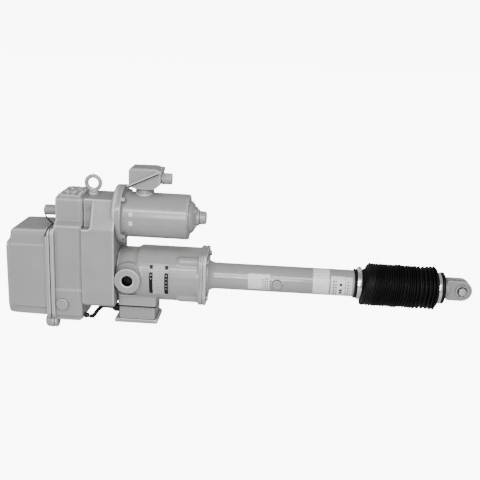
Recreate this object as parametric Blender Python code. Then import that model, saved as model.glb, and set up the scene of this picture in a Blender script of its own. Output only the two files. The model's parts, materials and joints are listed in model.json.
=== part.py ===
"""Parallel-motor ball-screw linear actuator with trunnion bosses, bellows and fork end.

Frame: the origin is where the screw axis crosses the trunnion axis.
+X runs along the rod towards the fork, +Y runs to the back, +Z is up.
Lengths below are in millimetres and are scaled to metres when a mesh is made.
"""

from math import cos, pi, radians, sin

import bmesh
import bpy
from mathutils import Matrix, Vector

MM = 0.001
GAP = 0.3

# Driving dimensions of the drive
MOTOR_Z = 170.0
GEAR_MODULE = 2.5
PINION_TEETH = 16
IDLER_TEETH = 36
SCREW_GEAR_TEETH = 48
IDLER_Z = MOTOR_Z - GEAR_MODULE * (PINION_TEETH + IDLER_TEETH) / 2
GEAR_X = (-104.0, -84.0)
TOOTH_BACKLASH = 0.5
WHEEL_TEETH = 50
WHEEL_MODULE = 1.0
WORM_RADIUS = 10.0
WORM_X = -268.0
CAM_Z = -(WHEEL_TEETH * WHEEL_MODULE / 2 + WHEEL_MODULE + WORM_RADIUS + GAP)

CAM_RADIUS = 16.0
CAM_RISE = 5.0
CAM_BORE = 5.3

# Castings
GEAR_CASE_X = (-129.0, -36.6)
MOTOR_PAD_FACE_X = -36.0
MIDDLE_X = (-213.6, -129.3)
COVER_X = (-340.0, -214.9)
CASE_HALF = 95.0
WALL = 8.0
MOTOR_PAD_RADIUS = 84.0
EYE = (-114.0, 0.0, 254.8)
EYE_MAJOR = 19.6
EYE_MINOR = 5.7

# Screw housing and trunnion
BODY_X = (-35.7, 208.7)
BODY_RADIUS = 79.0
BODY_BORE = 60.0
LUG_CENTRE = 51.3
LUG_RADIUS = 15.0
FLANGE_HALF = 75.0
FLANGE_CORNER = 30.0
FLANGE_THICK = 12.7
BOSS_FACE_Y = 96.3
BOSS_RADIUS = 36.0
BOSS_ROOT_RADIUS = 46.0
TRUNNION_RADIUS = 15.0
BUSH_OUTER = 18.0
BUSH_INNER_Y = 66.0
BUSH_OUTER_Y = 92.6

# Boxes
BOX_CENTRE = (19.5, 0.0)
TERMINAL_HALF = 36.0
LIP_HALF = 40.0
NECK_X = 33.0
HUB_Z = 277.1
DIAGONAL_SLOPE = 0.475
DIAGONAL_LOW = (-5.0, 257.0)
LIP_X = (-11.0, 84.0)

# Motor
MOTOR_X = (-35.7, 158.0)
MOTOR_FLANGE_X = -22.0
BARREL_RADIUS = 64.5
BARREL_BORE = 57.0
SHAFT_RADIUS = 9.7

# Telescopic tubes
TUBE_X = (209.0, 658.0)
TUBE_RADIUS = 38.15
TUBE_BORE = 33.0
TUBE_FLANGE_X = 218.5
GREASE_PLUG_XZ = (418.5, -2.7)
ROD_RADIUS = 25.0
ROD_BORE = 19.0
ROD_X = (84.0, 896.0)
SCREW_RADIUS = 15.0
SCREW_END_X = 560.0

# Bellows
BELLOWS_CUFF_X = (637.0, 893.0)
BELLOWS_FOLD_X = (668.0, 866.0)
BELLOWS_RADIUS = 61.0
BELLOWS_ROOT_RADIUS = 54.0
CUFF_RADIUS = 42.6
BELLOWS_RING_RADIUS = 38.4
REAR_CLAMP_X = (645.5, 657.5)
FRONT_CLAMP_X = (874.5, 882.5)
CLAMP_RADII = (43.0, 44.3)

# Fork end
FORK_PIN_X = 943.0
FORK_HALF_HEIGHT = 29.0
FORK_HALF_DEPTH = 19.0
FORK_GAP_HALF = 8.0
FORK_X0 = 896.3
PIN_RADIUS = 11.6

# Castings whose many coplanar cuts leave open edges with the EXACT solver
MANIFOLD_CASTINGS = (
    "gear_case", "middle_housing", "rear_cover", "outer_tube", "screw_housing", "terminal_box_base",
    "terminal_box_cover",
)

# Finishes: base colour, roughness, metallic
PAINT = ("grey_paint", (0.36, 0.365, 0.36), 0.45, 0.0)
STEEL = ("machined_steel", (0.62, 0.62, 0.60), 0.3, 1.0)
BRONZE = ("bronze", (0.62, 0.42, 0.2), 0.4, 1.0)
BLACK_RUBBER = ("black_rubber", (0.012, 0.012, 0.013), 0.6, 0.0)
BLACK_PLASTIC = ("black_plastic", (0.02, 0.02, 0.022), 0.5, 0.0)
LABEL = ("label_film", (0.8, 0.8, 0.78), 0.5, 0.0)
COPPER = ("stator_winding", (0.45, 0.2, 0.1), 0.5, 0.6)
BRIGHT = ("bright_metal", (0.75, 0.75, 0.74), 0.25, 1.0)


def clear_scene():
    for obj in list(bpy.data.objects):
        bpy.data.objects.remove(obj, do_unlink=True)


def finish_for(spec):
    name, colour, roughness, metallic = spec
    found = bpy.data.materials.get(name)
    if found:
        return found
    made = bpy.data.materials.new(name)
    made.use_nodes = True
    shader = made.node_tree.nodes["Principled BSDF"]
    shader.inputs["Base Color"].default_value = (*colour, 1.0)
    shader.inputs["Roughness"].default_value = roughness
    shader.inputs["Metallic"].default_value = metallic
    return made


# ---------------------------------------------------------------- outlines

def circle(radius, steps, centre=(0.0, 0.0)):
    angles = [2 * pi * i / steps for i in range(steps)]
    return [(centre[0] + radius * cos(angle), centre[1] + radius * sin(angle)) for angle in angles]


def rounded_rectangle(half_a, half_b, radius, steps=3, centre=(0.0, 0.0)):
    points = []
    for corner, (sa, sb) in enumerate(((1, 1), (-1, 1), (-1, -1), (1, -1))):
        for i in range(steps + 1):
            angle = pi / 2 * (corner + i / steps)
            points.append(
                (
                    centre[0] + sa * (half_a - radius) + radius * cos(angle),
                    centre[1] + sb * (half_b - radius) + radius * sin(angle),
                )
            )
    return points


def scaled(outline, factor, centre=(0.0, 6.0)):
    return [(centre[0] + (a - centre[0]) * factor, centre[1] + (b - centre[1]) * factor) for a, b in outline]


def inset(outline, amount):
    """The outline moved inwards by amount, corner by corner (outline runs anticlockwise)."""
    moved = []
    count = len(outline)
    for i, point in enumerate(outline):
        before = Vector(outline[i - 1])
        here = Vector(point)
        after = Vector(outline[(i + 1) % count])
        first = (here - before).normalized()
        second = (after - here).normalized()
        bisector = Vector((-first.y - second.y, first.x + second.x)).normalized()
        reach = amount / max(0.3, bisector.dot(Vector((-first.y, first.x))))
        moved.append(tuple(here + bisector * reach))
    return moved


def gear_outline(teeth, module, centre, tooth_at, backlash=TOOTH_BACKLASH):
    """Spur gear outline; one tooth is centred on the angle tooth_at."""
    pitch = teeth * module / 2
    half_tooth = pi * module / 4 - backlash / 2
    # (radius, half width of the tooth there): root and tip of a straight 20 degree flank
    flank = (
        (pitch - 1.25 * module, half_tooth + 0.40 * module),
        (pitch + 0.92 * module, half_tooth - 0.36 * module),
    )
    points = []
    for tooth in range(teeth):
        middle = tooth_at + 2 * pi * tooth / teeth
        for side, rows in ((-1, flank), (1, flank[::-1])):
            for radius, half_width in rows:
                angle = middle + side * half_width / radius
                points.append((centre[0] + radius * cos(angle), centre[1] + radius * sin(angle)))
    return points


# ---------------------------------------------------------------- meshes

def place(axis, along, a, b):
    """A point from its place along an axis and its two coordinates across it."""
    if axis == "x":
        return Vector((along, a, b)) * MM
    if axis == "y":
        return Vector((a, along, b)) * MM
    return Vector((a, b, along)) * MM


def closed(bm, name):
    bmesh.ops.recalc_face_normals(bm, faces=bm.faces)
    mesh = bpy.data.meshes.new(name)
    bm.to_mesh(mesh)
    bm.free()
    mesh.shade_smooth()
    mesh.set_sharp_from_angle(angle=radians(32))
    return mesh


def loft(name, sections, axis="x"):
    """Closed solid through sections (place along axis, outline), capped at both ends."""
    bm = bmesh.new()
    rings = [[bm.verts.new(place(axis, along, a, b)) for a, b in outline] for along, outline in sections]
    for low, high in zip(rings, rings[1:]):
        for i in range(len(low)):
            j = (i + 1) % len(low)
            bm.faces.new((low[i], low[j], high[j], high[i]))
    bm.faces.new(rings[0])
    bm.faces.new(rings[-1])
    return closed(bm, name)


def prism(name, outline, span, axis="x"):
    return loft(name, [(span[0], outline), (span[1], outline)], axis)


def turned(name, profile, axis="x", centre=(0.0, 0.0), steps=32):
    """Solid of revolution from (along, radius) points; a profile off the axis closes on itself."""
    bm = bmesh.new()
    rows = []
    for along, radius in profile:
        if radius == 0.0:
            rows.append([bm.verts.new(place(axis, along, *centre))])
        else:
            rows.append([bm.verts.new(place(axis, along, a, b)) for a, b in circle(radius, steps, centre)])
    solid = profile[0][1] == 0.0
    pairs = list(zip(rows, rows[1:])) if solid else list(zip(rows, rows[1:] + rows[:1]))
    for one, two in pairs:
        for i in range(steps):
            j = (i + 1) % steps
            corners = (one[i % len(one)], one[j % len(one)], two[j % len(two)], two[i % len(two)])
            unique = list(dict.fromkeys(corners))
            if len(unique) > 2:
                bm.faces.new(unique)
    return closed(bm, name)


def sleeve(name, span, inner, outer, axis="x", centre=(0.0, 0.0), steps=16):
    low, high = span
    profile = [(low, inner), (low, outer), (high, outer), (high, inner)]
    return turned(name, profile, axis, centre, steps)


def rod(name, span, radius, axis="x", centre=(0.0, 0.0), steps=16):
    low, high = span
    return turned(name, [(low, 0.0), (low, radius), (high, radius), (high, 0.0)], axis, centre, steps)


# ---------------------------------------------------------------- objects

def add(mesh, finish, group=None):
    """Puts a mesh in the scene; group is the empty on the joint axis that carries it."""
    obj = bpy.data.objects.new(mesh.name, mesh)
    bpy.context.collection.objects.link(obj)
    if not mesh.materials:
        mesh.materials.append(finish_for(finish))
    if group:
        pivot = group.location.copy()
        mesh.transform(Matrix.Translation(-pivot))
        obj.parent = group
    return obj


def pivot(name, location):
    empty = bpy.data.objects.new(name, None)
    empty.location = Vector(location) * MM
    bpy.context.collection.objects.link(empty)
    return empty


def combine(target, mesh, operation):
    """Adds a tool mesh to the target with a live Boolean; the tool itself is hidden."""
    tool = bpy.data.objects.new("tool_" + mesh.name, mesh)
    bpy.context.collection.objects.link(tool)
    tool.display_type = "WIRE"
    tool.hide_render = True
    tool.hide_viewport = False
    if target.parent:
        tool.parent = target.parent
        mesh.transform(Matrix.Translation(-target.parent.location))
    change = target.modifiers.new(mesh.name, "BOOLEAN")
    change.operation = operation
    change.solver = "MANIFOLD" if target.name in MANIFOLD_CASTINGS else "EXACT"
    change.object = tool
    return target


def cut(target, mesh):
    return combine(target, mesh, "DIFFERENCE")


def weld_on(target, mesh):
    return combine(target, mesh, "UNION")


# ---------------------------------------------------------------- castings

GEAR_CASE_OUTLINE = [
    (-86, -82), (86, -82), (CASE_HALF, -74), (CASE_HALF, 143), (58, 221),
    (-58, 221), (-CASE_HALF, 143), (-CASE_HALF, -74),
]
MIDDLE_OUTLINE = [
    (-84, -131), (84, -131), (86, -119), (92.5, -113.5), (92.5, -38), (89.5, -34), (89.5, 147),
    (70, 159), (70, 218), (64, 224), (-64, 224), (-70, 218), (-70, 159), (-89.5, 147), (-89.5, -34),
    (-92.5, -38), (-92.5, -113.5), (-86, -119),
]
COVER_OUTLINE = [
    (-84, -119), (84, -119), (91, -114), (92, -96), (98, -91), (98, 92), (77, 117), (74, 128), (70, 131),
    (-70, 131), (-74, 128), (-77, 117), (-98, 92), (-98, -91), (-92, -96), (-91, -114),
]
COVER_END_OUTLINE = [
    (-82, -118), (82, -118), (90, -113), (97.5, -91), (97.5, 88), (88, 101), (-88, 101), (-97.5, 88),
    (-97.5, -91), (-90, -113),
]
SEAM_OUTLINE = rounded_rectangle(102, 132, 14, 2, (0.0, 8.0))
EAR_PLACES = [(-60.0, -143.0), (60.0, -143.0)]
EAR_RADIUS = 20.0
DRAIN_PLUG_XZ = (-183.0, -79.0)


def build_gear_case():
    low, high = GEAR_CASE_X
    body = [(low, inset(GEAR_CASE_OUTLINE, 3.5)), (low + 4.5, GEAR_CASE_OUTLINE), (high, GEAR_CASE_OUTLINE)]
    case = add(loft("gear_case", body), PAINT)
    pad = [
        (-58.0, 0.0), (-58.0, 56.0), (-46.0, 82.0), (-44.0, MOTOR_PAD_RADIUS),
        (MOTOR_PAD_FACE_X, MOTOR_PAD_RADIUS), (MOTOR_PAD_FACE_X, 0.0),
    ]
    weld_on(case, turned("motor_pad", pad, "x", (0.0, MOTOR_Z), 40))
    weld_on(case, rod("eye_bolt_pad", (205.0, 229.0), 14.0, "z", EYE[:2], 20))
    for side in (-1, 1):
        recess = [(side * 58, 142), (side * 110, 142), (side * 110, 230), (side * 58, 230)]
        raised = [(a, b + 8) for a, b in recess]
        cut(case, loft("recess", [(-130.0, recess), (-108.0, recess), (-103.0, raised)]))
    cut(case, rod("pinion_hole", (-50.0, -30.0), 32.0, "x", (0.0, MOTOR_Z), 20))
    cut(case, rod("screw_hole", (-50.0, -30.0), 44.0, "x", (0.0, 0.0), 20))
    wide_cavity = inset(GEAR_CASE_OUTLINE, WALL)
    stepped_cavity = wide_cavity[:3] + [
        (CASE_HALF - WALL, 128), (50, 134), (50, 212), (-50, 212), (-50, 134), (WALL - CASE_HALF, 128),
    ] + wide_cavity[7:]
    cut(case, prism("rear_cavity", stepped_cavity, (-130.0, -90.0)))
    cut(case, prism("front_cavity", wide_cavity, (-95.0, -46.0)))
    return case


def build_middle_housing():
    low, high = MIDDLE_X
    body = [(low + 8.6, MIDDLE_OUTLINE), (high - 8.5, MIDDLE_OUTLINE), (high, inset(MIDDLE_OUTLINE, 4.5))]
    housing = add(loft("middle_housing", body), PAINT)
    weld_on(housing, prism("seam_flange", SEAM_OUTLINE, (low, -202.5)))
    ear = [
        (low, 0.0), (low, EAR_RADIUS), (-208.5, EAR_RADIUS), (-205.0, 16.5), (-203.5, 11.0), (-203.5, 0.0),
    ]
    for number, place_yz in enumerate(EAR_PLACES):
        weld_on(housing, turned(f"ear_{number}", ear, "x", place_yz, 24))
        cut(housing, rod(f"ear_hole_{number}", (-220.0, -190.0), 5.5, "x", place_yz, 12))
    top_pad = rounded_rectangle(33, 60, 5, 1, (-168.5, 0.0))
    weld_on(housing, prism("top_plate_pad", top_pad, (215.0, 229.0), "z"))
    weld_on(housing, rod("drain_boss", (-93.5, -80.0), 18.5, "y", DRAIN_PLUG_XZ, 20))
    inner = rounded_rectangle(83, 120, 12, 2, (0.0, 0.0))
    cut(housing, prism("lower_cavity", inner, (-215.0, -139.0)))
    cut(housing, prism("upper_cavity", rounded_rectangle(60, 60, 8, 1, (0.0, 155.0)), (-196.0, -139.0)))
    cut(housing, rod("shaft_hole", (-142.0, -128.0), 24.0, "x", (0.0, MOTOR_Z), 24))
    cut(housing, rod("screw_pass", (-142.0, -128.0), 26.0, "x", (0.0, 0.0), 24))
    cut(housing, rod("idler_seat", (-142.0, -128.0), 10.2, "x", (0.0, IDLER_Z)))
    cut(housing, rod("handle_hole", (-210.0, -190.0), 11.0, "x", (0.0, MOTOR_Z), 20))
    return housing


def build_rear_cover():
    low, high = COVER_X
    sections = [
        (high, COVER_OUTLINE), (-325.0, scaled(COVER_OUTLINE, 0.985)),
        (-331.5, scaled(COVER_OUTLINE, 0.955)), (-334.5, scaled(COVER_OUTLINE, 0.91)),
    ]
    lower = [
        (-312.0, scaled(COVER_END_OUTLINE, 0.97)), (-334.0, scaled(COVER_END_OUTLINE, 0.99)),
        (-338.0, scaled(COVER_END_OUTLINE, 0.965)), (low, scaled(COVER_END_OUTLINE, 0.92)),
    ]
    ear = [
        (-241.0, 0.0), (-241.0, 11.0), (-239.0, 15.5), (-234.0, 19.0), (-229.0, EAR_RADIUS),
        (high, EAR_RADIUS), (high, 0.0),
    ]
    cover = add(loft("rear_cover", sections), PAINT)
    weld_on(cover, loft("cover_end", lower))
    weld_on(cover, prism("cover_flange", SEAM_OUTLINE, (-227.0, high)))
    for number, place_yz in enumerate(EAR_PLACES):
        weld_on(cover, turned(f"cover_ear_{number}", ear, "x", place_yz, 24))
        cut(cover, rod(f"cover_ear_hole_{number}", (-245.0, -210.0), 5.5, "x", place_yz, 12))
    cavity = [(high + 1.0, scaled(COVER_OUTLINE, 0.945)), (-321.0, scaled(COVER_OUTLINE, 0.925)),
              (-329.5, scaled(COVER_OUTLINE, 0.86))]
    cut(cover, loft("cover_cavity", cavity))
    return cover


def build_gasket():
    gasket = add(prism("cover_gasket", SEAM_OUTLINE, (COVER_X[1] + GAP, MIDDLE_X[0] - GAP)), BLACK_RUBBER)
    cut(gasket, prism("gasket_window", rounded_rectangle(83, 119, 12, 2), (-216.0, -212.0)))
    return gasket


def torus(name, centre, major, minor, turns, sides):
    """Ring in the XZ plane round its centre."""
    bm = bmesh.new()
    rows = []
    for around in range(turns):
        turn = 2 * pi * around / turns
        rows.append([])
        for across, out in circle(minor, sides):
            reach = major + across
            point = Vector((centre[0] + reach * cos(turn), centre[1] + out, centre[2] + reach * sin(turn)))
            rows[-1].append(bm.verts.new(point * MM))
    for one, two in zip(rows, rows[1:] + rows[:1]):
        for i in range(sides):
            j = (i + 1) % sides
            bm.faces.new((one[i], two[i], two[j], one[j]))
    return closed(bm, name)


def build_eye_bolt():
    collar = [(229.3, 0.0), (229.3, 13.5), (235.0, 13.5), (237.0, 9.0), (241.0, 0.0)]
    bolt = add(turned("eye_bolt", collar, "z", EYE[:2], 20), BRIGHT)
    return weld_on(bolt, torus("eye_ring", EYE, EYE_MAJOR, EYE_MINOR, 20, 8))


def build_handle_cap():
    profile = [
        (-205.3, 0.0), (-205.3, 18.0), (-211.0, 18.0), (-213.0, 15.0), (-251.0, 15.0), (-255.0, 13.0),
        (-255.0, 0.0),
    ]
    return add(turned("handle_shaft_cap", profile, "x", (0.0, MOTOR_Z), 20), PAINT)


# ---------------------------------------------------------------- cords held by the object

def tube_along(name, points, radius, finish):
    """A tube along a smooth curve through its points, resampled evenly."""
    smooth = []
    count = len(points)
    for i in range(count - 1):
        p0 = Vector(points[max(0, i - 1)])
        p1 = Vector(points[i])
        p2 = Vector(points[i + 1])
        p3 = Vector(points[min(count - 1, i + 2)])
        for k in range(2):
            t = k / 2
            smooth.append(
                0.5 * ((2 * p1) + (p2 - p0) * t + (2 * p0 - 5 * p1 + 4 * p2 - p3) * t ** 2
                       + (3 * p1 - p0 - 3 * p2 + p3) * t ** 3)
            )
    smooth.append(Vector(points[-1]))
    curve = bpy.data.curves.new(name, "CURVE")
    curve.dimensions = "3D"
    spline = curve.splines.new("POLY")
    spline.points.add(len(smooth) - 1)
    for target, point in zip(spline.points, smooth):
        target.co = (*(point * MM), 1.0)
    curve.bevel_depth = radius * MM
    curve.bevel_resolution = 2
    curve.use_fill_caps = True
    obj = bpy.data.objects.new(name, curve)
    bpy.context.collection.objects.link(obj)
    curve.materials.append(finish_for(finish))
    return obj


BOX_GLAND_YZ = (-10.0, -111.5)
CASE_GLAND_YZ = (-62.0, -121.5)
CHAIN_RADIUS = 1.6
LEAD_RADIUS = 4.8
CHAIN_ROUTE = [
    (-257.2, 0.0, 173.0), (-260.5, -1.0, 164.0), (-258.5, -4.0, 153.0), (-252.0, -12.0, 147.5),
    (-243.0, -28.0, 144.6), (-236.0, -48.0, 143.8), (-230.0, -68.0, 143.4), (-225.0, -86.0, 143.4),
    (-222.0, -99.0, 140.0), (-221.0, -105.0, 133.0), (-222.0, -105.6, 126.0), (-224.0, -105.6, 119.0),
]
LEAD_ROUTE = [
    (-62.4, -10.0, -111.5), (-69.0, -10.4, -111.3), (-77.0, -14.0, -108.5), (-85.0, -22.0, -105.5),
    (-92.0, -33.0, -107.0), (-98.5, -45.0, -114.0), (-103.0, -54.0, -121.0), (-106.5, -59.0, -123.2),
    (-110.0, -61.6, -122.4), (-114.0, -62.0, -121.6),
]


def build_leads():
    tube_along("cap_chain", CHAIN_ROUTE, CHAIN_RADIUS, BRIGHT)
    tube_along("control_lead", LEAD_ROUTE, LEAD_RADIUS, BLACK_RUBBER)
    gland = [
        (-32.8, 0.0), (-32.8, 11.0), (-39.0, 11.0), (-40.0, 13.0), (-51.0, 13.0), (-61.0, 7.0), (-61.0, 0.0),
    ]
    add(turned("junction_box_gland", gland, "x", BOX_GLAND_YZ, 16), BLACK_PLASTIC)
    entry = [(-129.0, 0.0), (-129.0, 8.0), (-123.0, 8.0), (-115.8, 5.8), (-115.8, 0.0)]
    add(turned("housing_gland", entry, "x", CASE_GLAND_YZ, 16), BLACK_PLASTIC)


# ---------------------------------------------------------------- screw housing

def build_screw_housing():
    outer = [
        (BODY_X[0], 0.0), (BODY_X[0], 72.0), (14.0, 72.0), (26.0, BODY_RADIUS), (198.0, BODY_RADIUS),
        (204.0, FLANGE_HALF - 4.0), (204.0, 0.0),
    ]
    body = add(turned("screw_housing", outer, steps=40), PAINT)
    lug = [
        (131.0, 0.0), (131.0, 7.0), (136.0, 12.0), (143.0, LUG_RADIUS), (200.0, LUG_RADIUS), (200.0, 0.0),
    ]
    for number, (side_y, side_z) in enumerate(((-1, -1), (-1, 1), (1, -1), (1, 1))):
        centre = (side_y * LUG_CENTRE, side_z * LUG_CENTRE)
        weld_on(body, turned(f"bolt_lug_{number}", lug, "x", centre, 16))
    flange = rounded_rectangle(FLANGE_HALF, FLANGE_HALF, FLANGE_CORNER, 4)
    weld_on(body, prism("end_flange", flange, (BODY_X[1] - FLANGE_THICK, BODY_X[1])))
    for side in (-1, 1):
        boss = [
            (side * 40.0, 0.0), (side * 40.0, BOSS_ROOT_RADIUS), (side * 70.0, BOSS_ROOT_RADIUS),
            (side * 76.0, 40.5), (side * 84.0, BOSS_RADIUS + 0.8), (side * BOSS_FACE_Y, BOSS_RADIUS),
            (side * BOSS_FACE_Y, 0.0),
        ]
        weld_on(body, turned(f"boss_{side}", boss, "y", (0.0, 0.0), 28))
    weld_on(body, prism("box_mount", rounded_rectangle(55, 53, 6, 2, (20.4, 0.0)), (-89.0, -56.0), "z"))
    bore = [
        (BODY_X[0] - 1, 0.0), (BODY_X[0] - 1, 45.3), (33.0, 45.3), (33.0, 38.0), (41.0, 38.0),
        (41.0, BODY_BORE), (BODY_X[1] + 1, BODY_BORE), (BODY_X[1] + 1, 0.0),
    ]
    cut(body, turned("bore", bore, steps=24))
    clearance = [(-110, -100), (110, -100), (110, 100), (-110, 100)]
    cut(body, prism("case_clearance", clearance, (-60.0, BODY_X[0])))
    for side in (-1, 1):
        span = sorted((side * BUSH_INNER_Y, side * (BUSH_OUTER_Y + GAP)))
        cut(body, rod(f"trunnion_bore_{side}", span, BUSH_OUTER + GAP, "y"))
        mouth = sorted((side * 90.0, side * 100.0))
        cut(body, rod(f"trunnion_mouth_{side}", mouth, TRUNNION_RADIUS + 0.5, "y", steps=24))
    return body


def build_trunnion_bushes():
    for name, side in (("trunnion_bush_front", -1), ("trunnion_bush_back", 1)):
        span = sorted((side * (BUSH_INNER_Y + GAP), side * BUSH_OUTER_Y))
        add(sleeve(name, span, TRUNNION_RADIUS, BUSH_OUTER, "y"), BRONZE)


def build_outer_tube():
    flange = rounded_rectangle(FLANGE_HALF, FLANGE_HALF, FLANGE_CORNER, 4)
    tube = add(prism("outer_tube", flange, (TUBE_X[0], TUBE_FLANGE_X)), PAINT)
    barrel = [
        (212.0, 0.0), (212.0, 50.0), (220.5, 50.0), (223.0, 44.0), (229.0, 40.3), (238.0, TUBE_RADIUS),
        (TUBE_X[1], TUBE_RADIUS), (TUBE_X[1], 0.0),
    ]
    weld_on(tube, turned("tube_barrel", barrel, steps=36))
    weld_on(tube, rod("plug_boss", (-41.5, -30.0), 15.5, "y", GREASE_PLUG_XZ, 24))
    cut(tube, rod("tube_bore", (200.0, 700.0), TUBE_BORE, steps=24))
    cut(tube, rod("plug_hole", (-50.0, -25.0), 7.0, "y", GREASE_PLUG_XZ, 16))
    return tube


def build_tube_fittings():
    plug = [
        (-31.0, 0.0), (-31.0, 6.7), (-41.8, 6.7), (-41.8, 12.6), (-47.0, 12.6), (-48.5, 11.0), (-48.5, 0.0),
    ]
    add(turned("grease_plug", plug, "y", GREASE_PLUG_XZ, 24), PAINT)
    add(sleeve("rod_guide_bush", (598.0, 645.0), ROD_RADIUS + GAP, TUBE_BORE - GAP, steps=24), BRONZE)
    add(sleeve("rod_wiper_seal", (645.4, 656.0), ROD_RADIUS + GAP, TUBE_BORE - GAP, steps=24), BLACK_RUBBER)


# ---------------------------------------------------------------- junction box, terminal box

def build_junction_box():
    body_outline = rounded_rectangle(52.0, 47.0, 5.0, 2, BOX_CENTRE)
    base = add(prism("junction_box_base", body_outline, (-130.0, -89.3), "z"), PAINT)
    cut(base, prism("box_hollow", rounded_rectangle(48.0, 43.0, 4.0, 1, BOX_CENTRE), (-131.0, -94.0), "z"))
    cut(base, rod("gland_hole", (-36.0, -26.0), 7.0, "x", BOX_GLAND_YZ, 12))
    lip = rounded_rectangle(55.0, 51.0, 6.0, 2, BOX_CENTRE)
    foot = rounded_rectangle(62.5, 51.0, 6.0, 2, (16.5, 0.0))
    lid = add(loft("junction_box_lid", [(-130.3, lip), (-134.0, foot), (-142.0, foot)], "z"), PAINT)
    return base, lid


def diagonal_z(x):
    return DIAGONAL_LOW[1] + DIAGONAL_SLOPE * (x - DIAGONAL_LOW[0])


def slanted_lip(name, below, above):
    """Flange along the slanted joint of the terminal box, from below to above the joint line."""
    low, high = LIP_X
    outline = [
        (low, diagonal_z(low) + below), (high, diagonal_z(high) + below), (high, diagonal_z(high) + above),
        (low, diagonal_z(low) + above),
    ]
    return prism(name, outline, (-LIP_HALF, LIP_HALF), "y")


def build_terminal_base():
    outline = [
        (-5.0, diagonal_z(-5.0)), (1.5, 254.5), (14.0, 250.3), (63.0, 250.3), (81.5, 265.0),
        (81.5, diagonal_z(81.5)),
    ]
    base = add(prism("terminal_box_base", outline, (-TERMINAL_HALF, TERMINAL_HALF), "y"), PAINT)
    weld_on(base, slanted_lip("base_lip", -4.0, 0.0))
    neck = [(228.0, 0.0), (228.0, 28.5), (236.0, 26.5), (252.0, 25.5), (252.0, 0.0)]
    weld_on(base, turned("box_neck", neck, "z", (NECK_X, 0.0), 20))
    cut(base, rod("barrel_clearance", (-40.0, 170.0), BARREL_RADIUS + GAP, "x", (0.0, MOTOR_Z), 40))
    cut(base, rod("neck_hole", (220.0, 262.0), 14.0, "z", (NECK_X, 0.0), 20))
    hollow = [
        (12.0, diagonal_z(12.0) + 1.0), (15.0, 257.0), (60.0, 257.0), (74.0, 268.0),
        (74.0, diagonal_z(74.0) + 1.0),
    ]
    cut(base, prism("base_hollow", hollow, (-31.0, 31.0), "y"))
    cut(base, rod("hub_hole", (72.0, 90.0), 11.0, "x", (0.0, HUB_Z), 20))


def build_terminal_cover():
    lift = 1.0
    outline = [
        (-8.0, diagonal_z(-8.0) + lift), (80.0, diagonal_z(80.0) + lift), (77.0, 304.0), (65.0, 309.0),
        (-3.0, 308.0), (-8.0, 302.5),
    ]
    half = TERMINAL_HALF
    small = inset(outline, 3.5)
    body = [(-half, small), (4 - half, outline), (half - 4, outline), (half, small)]
    cover = add(loft("terminal_box_cover", body, "y"), PAINT)
    weld_on(cover, slanted_lip("cover_lip", lift, 5.5))
    hollow = [
        (-1.0, diagonal_z(-1.0)), (68.0, diagonal_z(68.0)), (67.0, 297.5), (60.0, 302.5), (2.0, 302.5),
        (-1.0, 299.0),
    ]
    cut(cover, prism("cover_hollow", hollow, (-31.0, 31.0), "y"))


def build_terminal_fittings():
    block = rounded_rectangle(14.0, 22.0, 2.0, 1, (33.0, 0.0))
    add(prism("terminal_block", block, (259.0, 270.0), "z"), BLACK_PLASTIC)
    hub = [
        (81.8, 11.2), (81.8, 16.6), (85.5, 16.6), (85.5, 16.0), (109.0, 16.0), (109.0, 12.5), (100.0, 11.2),
    ]
    add(turned("conduit_hub", hub, "x", (0.0, HUB_Z), 20), PAINT)


# ---------------------------------------------------------------- motor

def build_motor():
    axis = (0.0, MOTOR_Z)
    low, high = MOTOR_X
    frame = [
        (low, 21.3), (low, MOTOR_PAD_RADIUS), (-24.0, MOTOR_PAD_RADIUS), (MOTOR_FLANGE_X, 82.0),
        (MOTOR_FLANGE_X, BARREL_RADIUS), (high, BARREL_RADIUS), (high, BARREL_BORE), (-12.0, BARREL_BORE),
        (-12.0, 21.3),
    ]
    body = add(turned("motor_frame", frame, "x", axis, 40), PAINT)
    cut(body, rod("cable_hole", (220.0, 240.0), 12.0, "z", (NECK_X, 0.0), 16))
    add(sleeve("stator", (12.0, 100.0), 33.0, BARREL_BORE - GAP, "x", axis), COPPER)
    cover = [
        (high + GAP, 43.0), (high + GAP, 64.0), (160.8, 64.0), (161.4, 47.2), (166.0, 46.4), (170.5, 43.4),
        (175.0, 37.5), (179.0, 30.0), (181.5, 24.3), (189.0, 24.0), (189.0, 10.6), (176.0, 10.6),
        (172.5, 26.0), (166.0, 38.0),
    ]
    add(turned("brake_cover", cover, "x", axis, 32), PAINT)
    cap = [(189.3, 0.0), (189.3, 19.0), (191.0, 19.8), (206.0, 19.8), (209.0, 17.5), (209.0, 0.0)]
    add(turned("motor_shaft_cap", cap, "x", axis, 20), PAINT)
    add(sleeve("brake_magnet", (137.0, 157.0), 14.0, 50.0, "x", axis), STEEL)
    add(sleeve("motor_bearing_front", (-33.0, -21.0), 10.3, 21.0, "x", axis), STEEL)
    wall = [(104.0, 18.0), (104.0, BARREL_BORE - GAP), (114.0, BARREL_BORE - GAP), (114.0, 18.0)]
    add(turned("motor_rear_shield", wall, "x", axis, 16), PAINT)
    add(sleeve("motor_bearing_rear", (104.0, 114.0), 10.3, 17.7, "x", axis), STEEL)


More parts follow.
